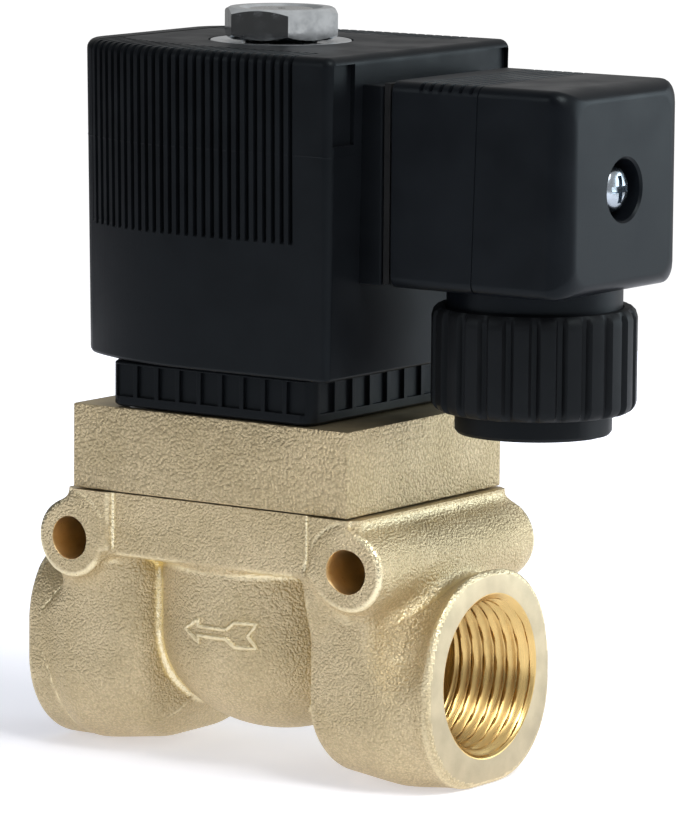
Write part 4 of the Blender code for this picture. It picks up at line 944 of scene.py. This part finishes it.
def coil_levels():
    """Heights up the side and over the top edge, each with its inset, tilt and share of the groove depth."""
    levels = [(COIL_FOOT, 0.5, 0.0, 0), (COIL_FOOT + 0.15, 0.2, 0.0, 0), (COIL_FOOT + 0.5, 0.0, 0.0, 0)]
    levels += [(GROOVE_FOOT - 0.45, 0.0, 0.0, 0), (GROOVE_FOOT - 0.1, 0.0, 0.0, 0.75)]
    levels.append((GROOVE_FOOT + 0.25, 0.0, 0.0, 1))
    seam = GROOVE_FOOT + SEAM_HEIGHT
    levels += [(seam - 0.12, 0.0, 0.0, 1), (seam, -0.05, 0.0, 1), (seam + 0.12, 0.0, 0.0, 1)]
    for angle in np.radians(np.linspace(0, 90, 7)):
        z = COIL_TOP - COIL_TOP_EDGE * (1 - math.sin(angle))
        levels.append((z, COIL_TOP_EDGE * (1 - math.cos(angle)), angle, 1))
    return levels


def coil_hollows():
    """Cutters for the winding's cavity, the top recess, the sockets' blades and the plug's screw."""
    relief = []
    for side in (-1, 1):
        near, far = sorted((side * 15.4, side * 19.9))
        low = (PILOT_X + COIL_HALF[0] - 0.75, near, 83.9)
        relief.append(block(low, (SHELL_HIGH[0] + 2, far, COIL_TOP - 1.0)))
    recess = [(5.2, COIL_TOP - 6), (5.2, COIL_TOP - 3.2), (7.0, COIL_TOP - 3.2), (7.0, COIL_TOP - 1.35)]
    recess += [(9.55, COIL_TOP - 1.35), (9.55, COIL_TOP + 1)]
    relief += [
        cylinder(14.5, COIL_FOOT - 1, CAVITY_TOP, (PILOT_X, 0)),
        block((PILOT_X - 9.3, -18.2, COIL_FOOT - 1), (PILOT_X + 9.3, 18.2, CAVITY_TOP)),
        turned_cutter(recess, (PILOT_X, 0)),
        cylinder(2.6, SHELL_HIGH[0] - 5.9, SHELL_HIGH[0] + 1, (0, 0, PLUG_Z), "X", 32),
    ]
    for name in ("power_blade_front", "power_blade_rear", "earth_blade"):
        low, high = box_mm(name)
        relief.append(block(low - 0.15, high + 0.15))
    return relief


def coil_shell():
    outline, band = coil_outline()
    count = len(outline)
    place, normal, deep = outline[:, :2], outline[:, 2:4], outline[:, 4]

    def ring(z, inset, tilt, grooved):
        lean = COIL_DRAFT * (COIL_TOP - z) / (COIL_TOP - COIL_FOOT)
        sunk = deep * GROOVE_DEPTH * grooved
        flat = place - normal * (inset + lean + sunk * math.cos(tilt))[:, None]
        return np.column_stack((flat + (PILOT_X, 0), z - sunk * math.sin(tilt)))

    rings = [ring(z, np.full(count, inset), tilt, grooved) for z, inset, tilt, grooved in coil_levels()]
    points, faces = loft(rings)
    faces = faces[:-1]
    rows = list(points)
    last = (len(rings) - 1) * count
    top, done = [], last
    for start, end, sign in ((band[0], band[1], 1), (count - band[1], count - band[0], -1)):
        base = [last + i for i in range(start, end)]
        grid = [base]
        for run, level in ((GROOVE_BAND * 0.5, 1), (GROOVE_BAND, 1), (GROOVE_BAND + 0.08, 0)):
            line = []
            for index in base:
                x, y, _ = points[index]
                z = COIL_TOP - deep[index - last] * GROOVE_DEPTH * level
                line.append(len(rows))
                rows.append(np.array((x, y - sign * run, z)))
            grid.append(line)
        for lower, upper in zip(grid, grid[1:]):
            faces += [(lower[j], lower[j + 1], upper[j + 1], upper[j]) for j in range(len(lower) - 1)]
        top += [*range(done, last + start), *(line[0] for line in grid), *grid[-1][1:-1]]
        top += [line[-1] for line in grid[::-1]]
        done = last + end
    faces.append((*top, *range(done, last + count)))
    piece = add_mesh("coil_cover", rows, faces, None, smooth=28)
    gap = 0.2
    base = block(
        (PILOT_X + COIL_HALF[0] - 4, -PLUG_HIGH[1] + gap, PLUG_BOX_FOOT + gap),
        (SHELL_HIGH[0], PLUG_HIGH[1] - gap, PLUG_HIGH[2] - 0.7),
    )
    soften(base, 0.35, 2)
    carve(piece, [base], "UNION")
    carve(piece, coil_hollows())
    hand_over(piece, "coil_cover", "coil", ["coil_shell"], COIL_BLACK)


# ---- nut, washer and stud on top
def washer():
    low, high = heights("top_washer")
    profile = [(5.3, low), (9.4, low), (9.4, high - 0.25), (9.2, high), (5.5, high), (5.2, high - 0.2)]
    add_mesh("flat_washer", *turned(profile, (PILOT_X, 0)), "coil", ["top_washer"], "zinc", material=ZINC)


def hex_nut():
    flats, corner, count = 14.0, 12.0, 180
    low, high = heights("hex_nut")
    turns = np.radians(corner) + np.arange(count) * 2 * math.pi / count
    off = (np.degrees(turns) - corner + 30) % 60 - 30
    wide = flats / 2 / np.cos(np.radians(30) - np.radians(np.abs(off)))

    def ring(radius, z):
        return np.column_stack((PILOT_X + radius * np.cos(turns), radius * np.sin(turns), z * np.ones(count)))

    crown, slope = 6.75, math.tan(math.radians(27))
    drop = np.clip(wide - crown, 0, None) * slope
    near = np.minimum(wide - 0.02, crown)
    rings = [ring(5.05, low + 0.5), ring(5.5, low), ring(near, low), ring(wide, low + drop)]
    rings += [ring(wide, high - drop - 0.02), ring(near, high), ring(5.55, high), ring(5.05, high - 0.5)]
    add_mesh("hex_nut_top", *loft(rings, closed=True), "nut", ["hex_nut"], "zinc", smooth=24, material=ZINC)


def stud():
    """The fixed core with its threaded stud."""
    low, high = heights("fixed_core")
    shoulder, tube = COIL_TOP - 4.6, COIL_TOP - 7.0
    profile = [(3.2, low), (4.85, low), (4.85, tube + 0.2)]
    profile += [(5.85, tube + 0.2), (5.85, shoulder), (4.3, shoulder)]
    z = shoulder + 0.4
    pitch = 0.75
    while z < high - 1.0:
        profile += [(4.35, z), (4.88, z + pitch / 2)]
        z += pitch
    profile += [(4.5, high - 0.4), (4.1, high), (0.6, high), (0.6, low + 1.3), (3.2, low + 1.3)]
    shape = turned(profile, (PILOT_X, 0), steps=72)
    add_mesh("core_stud", *shape, "valve", ["fixed_core"], "stainless", material=STEEL)


# ---- plug
def rounded_section(half_y, half_z, radius, x):
    corners = ((1, 1, 0), (-1, 1, 90), (-1, -1, 180), (1, -1, 270))
    flat = np.concatenate([
        arc_points((sy * (half_y - radius), sz * (half_z - radius)), radius, start, start + 90, 6)
        for sy, sz, start in corners
    ])
    return np.column_stack((np.full(len(flat), x), flat[:, 0], flat[:, 1]))


def plug_box():
    low, high = PLUG_LOW, PLUG_HIGH
    foot = PLUG_BOX_FOOT
    half_y, half_z = high[1], (high[2] - foot) / 2
    seam = GLAND_X - 0.3
    start, front = low[0], high[0]
    round_y, round_z = 3.0, 1.9
    stations = [(start, 0.35, 0.35, 0.0), (start + 0.35, 0.0, 0.0, 0.0)]
    grooves, first, pitch, wide, slope, depth = 6, seam - 8.6, 1.45, 0.6, 0.12, 0.8
    for i in range(grooves):
        x = first + i * pitch
        stations += [(x, 0, 0, 0.0), (x + slope, 0, 0, depth)]
        stations += [(x + wide - slope, 0, 0, depth), (x + wide, 0, 0, 0.0)]
    for along, inset in ((-0.1, 0), (-0.02, 0.12), (0.06, 0.12), (0.14, 0)):
        stations.append((seam + along, inset, inset, 0))
    for t in np.linspace(0, 1, 10):
        x = front - round_y + round_y * math.sin(t * math.pi / 2)
        curve = 1 - math.cos(t * math.pi / 2)
        stations.append((x, round_y * curve, round_z * curve, 0.0))
    rings = []
    for x, in_y, in_z, groove in stations:
        section = rounded_section(half_y - in_y, half_z - in_z, 1.5 + 0.4 * in_y, x)
        up = section[:, 2] > half_z - 1.0
        section[up, 2] -= groove * ramp(section[up, 2], half_z - 1.0, half_z - 0.3)
        lean = 0.03 * np.clip(1 - abs(x - seam) / 4, 0, 1)
        section[:, 0] += section[:, 2] * lean
        section[:, 2] += (foot + high[2]) / 2
        rings.append(section)
    piece = add_mesh("plug_cover", *loft(rings), None, smooth=30)
    neck = turned_cutter([(10.4, low[2]), (11.3, low[2] + 0.8), (11.3, foot + 1.0)], (GLAND_X, 0))
    carve(piece, [neck], "UNION")
    wall, web = 2.2, 6.5
    well = [(3.9, front - 3.4), (3.95, front - 0.3), (4.3, front + 0.05), (4.3, front + 1)]
    carve(piece, [
        turned_cutter(well, (0, 0, PLUG_Z), "X", 64),
        block((start - 1, -half_y + wall, foot + wall), (front - 6.2, half_y - wall, high[2] - wall)),
        block((front - 6.4, -half_y + wall, foot + wall), (front - wall, -web, high[2] - wall)),
        block((front - 6.4, web, foot + wall), (front - wall, half_y - wall, high[2] - wall)),
        cylinder(8.5, low[2] - 1, foot + wall + 1, (GLAND_X, 0)),
        cylinder(1.7, front - 8, front - 2, (0, 0, PLUG_Z), "X", 32),
    ])
    hand_over(piece, "plug_cover", "plug", ["plug_housing"], PLUG_BLACK)


def plug_screw():
    """A pan-head screw with a cross recess, sunk in its well."""
    low, high = box_mm("plug_screw")
    head, face = 2.9, high[0]
    foot = face - 1.9
    profile = [(0.02, face), (1.2, face - 0.05), (2.2, face - 0.35), (2.75, face - 0.85), (head, face - 1.4)]
    profile += [(head, foot), (1.45, foot), (1.45, low[0] + 0.6), (0.9, low[0]), (0.02, low[0])]
    piece = turned_cutter(profile, (0, 0, PLUG_Z), "X", 64)
    wide, long = 0.42, 1.75
    arms = [
        block((face - 1.0, -long, PLUG_Z - wide), (face + 1, long, PLUG_Z + wide)),
        block((face - 1.0, -wide, PLUG_Z - long), (face + 1, wide, PLUG_Z + long)),
    ]
    carve(piece, arms)
    # The screw's darker zinc is painted shade from its well.
    hand_over(piece, "cross_head_screw", "plug_screw", ["plug_screw"], SCREW_ZINC_PAINTED_SHADE)


# ---- cable gland
def gland_nut():
    ribs, radius, depth = 24, 13.2, 0.75
    low, high = heights("gland_nut")
    section = ((0.0, 0.0), (0.10, 0.85), (0.18, 1.0), (0.30, 0.95), (0.40, 0.25))
    section += ((0.46, 0.0), (0.70, 0.0), (0.9, 0.0))
    turns, deep = [], []
    for i in range(ribs):
        for share, sunk in section:
            turns.append(2 * math.pi * (i + share) / ribs)
            deep.append(sunk)
    turns, deep = np.array(turns), np.array(deep)

    def ring(r, z):
        return np.column_stack((GLAND_X + r * np.cos(turns), r * np.sin(turns), z * np.ones(len(turns))))

    rings = []
    shoulder = 1.6
    for angle in np.radians(np.linspace(90, 0, 7)):
        r = radius - shoulder * (1 - math.cos(angle))
        z = low + shoulder * (1 - math.sin(angle))
        rings.append(ring(r - deep * depth * math.cos(angle), z))
    rings += [ring(radius - deep * depth, high - 1.9), ring(radius - deep * depth * 0.9, high - 1.2)]
    rings += [ring(radius - 0.25 - deep * depth * 0.5, high - 0.45), ring(radius - 0.7 - deep * 0.1, high)]
    bore, lip = 11.45, 10.3
    inside = ((bore, high), (bore, low + 3.2), (lip, low + 3.2), (lip, low + 0.3), (lip + 0.3, low))
    rings += [ring(r, z) for r, z in inside]
    points, faces = loft(rings, closed=True)
    add_mesh(
        "ribbed_gland_nut", points, faces, "gland_nut", ["gland_nut"], "black_plastic", 32, GLAND_BLACK
    )


def gland_ring():
    low, high = heights("gland_end_ring")
    shelf = high - 1.4
    profile = [(4.5, high), (11.0, high), (11.0, shelf + 0.2), (10.1, shelf), (10.1, low + 0.4), (9.8, low)]
    profile += [(5.4, low), (4.7, low + 0.5), (4.5, low + 1.0)]
    points, faces = turned(profile, (GLAND_X, 0))
    below = points[:, 2] < shelf - 1
    points[below, 0] = np.minimum(points[below, 0], GLAND_X + 9.7)
    nodes = ["gland_end_ring"]
    add_mesh("gland_end_ring_cover", points, faces, "plug", nodes, "black_plastic", material=GLAND_BLACK)


# ---- pieces kept from the CAD
def inner_materials():
    looks = dict(brass=TURNED_BRASS, zinc=ZINC, stainless=STEEL, copper=COPPER, iron=IRON, rubber=RUBBER)
    looks.update(black_plastic=GLAND_BLACK, nylon=NYLON, white_plastic=WHITE_NYLON)
    for entry in RECORD["subparts"]:
        obj = bpy.data.objects.get(entry["node"])
        if obj and obj.type == "MESH":
            obj.data.materials.clear()
            obj.data.materials.append(looks[entry["material_slot"]])


# ---- room
def floor():
    mesh = bpy.data.meshes.new("floor")
    shape = bmesh.new()
    bmesh.ops.create_circle(shape, cap_ends=True, segments=96, radius=0.42)
    shape.to_mesh(mesh)
    shape.free()
    obj = in_scene("floor", mesh)
    look = Graph("pale_floor")
    look.set(Roughness=0.75, Specular_IOR_Level=0.1, Emission_Color=(0.87, 0.90, 1.0, 1))
    away = look.make("VectorMath")
    away.operation = "LENGTH"
    look.links.new(look.place, away.inputs[0])
    # Painted shade: the floor glows less near the object, leaving a darker bluish patch round it; far off it
    # glows white.
    glow_with_painted_shade = look.spread(away.outputs["Value"], 0.06, 0.30, 0.44, 0.85)
    look.links.new(glow_with_painted_shade, look.shader.inputs["Emission Strength"])
    broad = look.noise(400.0)
    look.colour(look.mix(broad, (0.86, 0.86, 0.90), (0.90, 0.90, 0.93)))
    mesh.materials.append(look.material)


def area_light(name, place, target, size, power, colour=(1, 1, 1)):
    data = bpy.data.lights.new(name, "AREA")
    data.shape = "RECTANGLE"
    data.size, data.size_y = size
    data.energy = power
    data.color = colour
    obj = in_scene(name, data)
    obj.location = place
    obj.rotation_euler = (Vector(target) - Vector(place)).to_track_quat("-Z", "Y").to_euler()


def world():
    """White to the eye; as light, bright behind and above the object and dimmer in front of it."""
    made = bpy.data.worlds.new("studio")
    bpy.context.scene.world = made
    made.use_nodes = True
    nodes, links = made.node_tree.nodes, made.node_tree.links
    nodes.clear()
    kinds = ("OutputWorld", "MixShader", "Background", "Background", "LightPath", "TexCoord", "VectorMath")
    out, mix, eye, light, path, coords, toward = (nodes.new("ShaderNode" + kind) for kind in kinds)
    fill(eye, {"Color": (1, 1, 1, 1), "Strength": 1.05})
    brightest = Vector((0.55, 0.60, 0.55)).normalized()
    toward.operation = "DOT_PRODUCT"
    toward.inputs[1].default_value = brightest
    fade = nodes.new("ShaderNodeMapRange")
    fade.interpolation_type = "SMOOTHSTEP"
    fill(fade, {"From Min": -0.5, "From Max": 0.7, "To Min": 0.05, "To Max": 0.66})
    for source, target in (
        (coords.outputs["Generated"], toward.inputs[0]),
        (toward.outputs["Value"], fade.inputs["Value"]),
        (fade.outputs["Result"], light.inputs["Strength"]),
        (path.outputs["Is Camera Ray"], mix.inputs[0]),
        (light.outputs[0], mix.inputs[1]),
        (eye.outputs[0], mix.inputs[2]),
        (mix.outputs[0], out.inputs["Surface"]),
    ):
        links.new(source, target)


def camera():
    azimuth, elevation, roll = math.radians(34.95), math.radians(8.256), math.radians(0.468)
    distance, lens = 0.76105, 250.94
    target = Vector(((VALVE_X + 8.322) * MM, 0, (PORT_Z + 31.83) * MM))
    back = Vector((
        math.sin(azimuth) * math.cos(elevation), -math.cos(azimuth) * math.cos(elevation), math.sin(elevation)
    ))
    data = bpy.data.cameras.new("camera")
    data.lens = lens
    obj = in_scene("camera", data)
    obj.location = target + back * distance
    turn = back.to_track_quat("Z", "Y").to_matrix().to_4x4()
    obj.rotation_euler = turn.to_euler()
    obj.rotation_euler.rotate_axis("Z", roll)
    bpy.context.scene.camera = obj


forged_body()
for end in (-1, 1):
    port_thread(end)
flow_arrow()
bonnet()
skirt()
coil_shell()
washer()
hex_nut()
stud()
plug_box()
plug_screw()
gland_nut()
gland_ring()
inner_materials()
floor()
world()
area_light("key", (0.55, -0.15, 0.75), (0, 0, 0.04), (0.4, 0.4), 5.0, (1.0, 0.99, 0.97))
area_light("front_fill", (-0.5, -0.8, 0.45), (0, 0, 0.05), (0.5, 0.5), 1.7, (0.97, 0.98, 1.0))
area_light("side", (0.50, 0.66, 0.20), (0, 0, 0.06), (0.5, 0.4), 2.6, (0.80, 0.93, 1.0))
camera()
bpy.context.scene.view_settings.view_transform = "Standard"
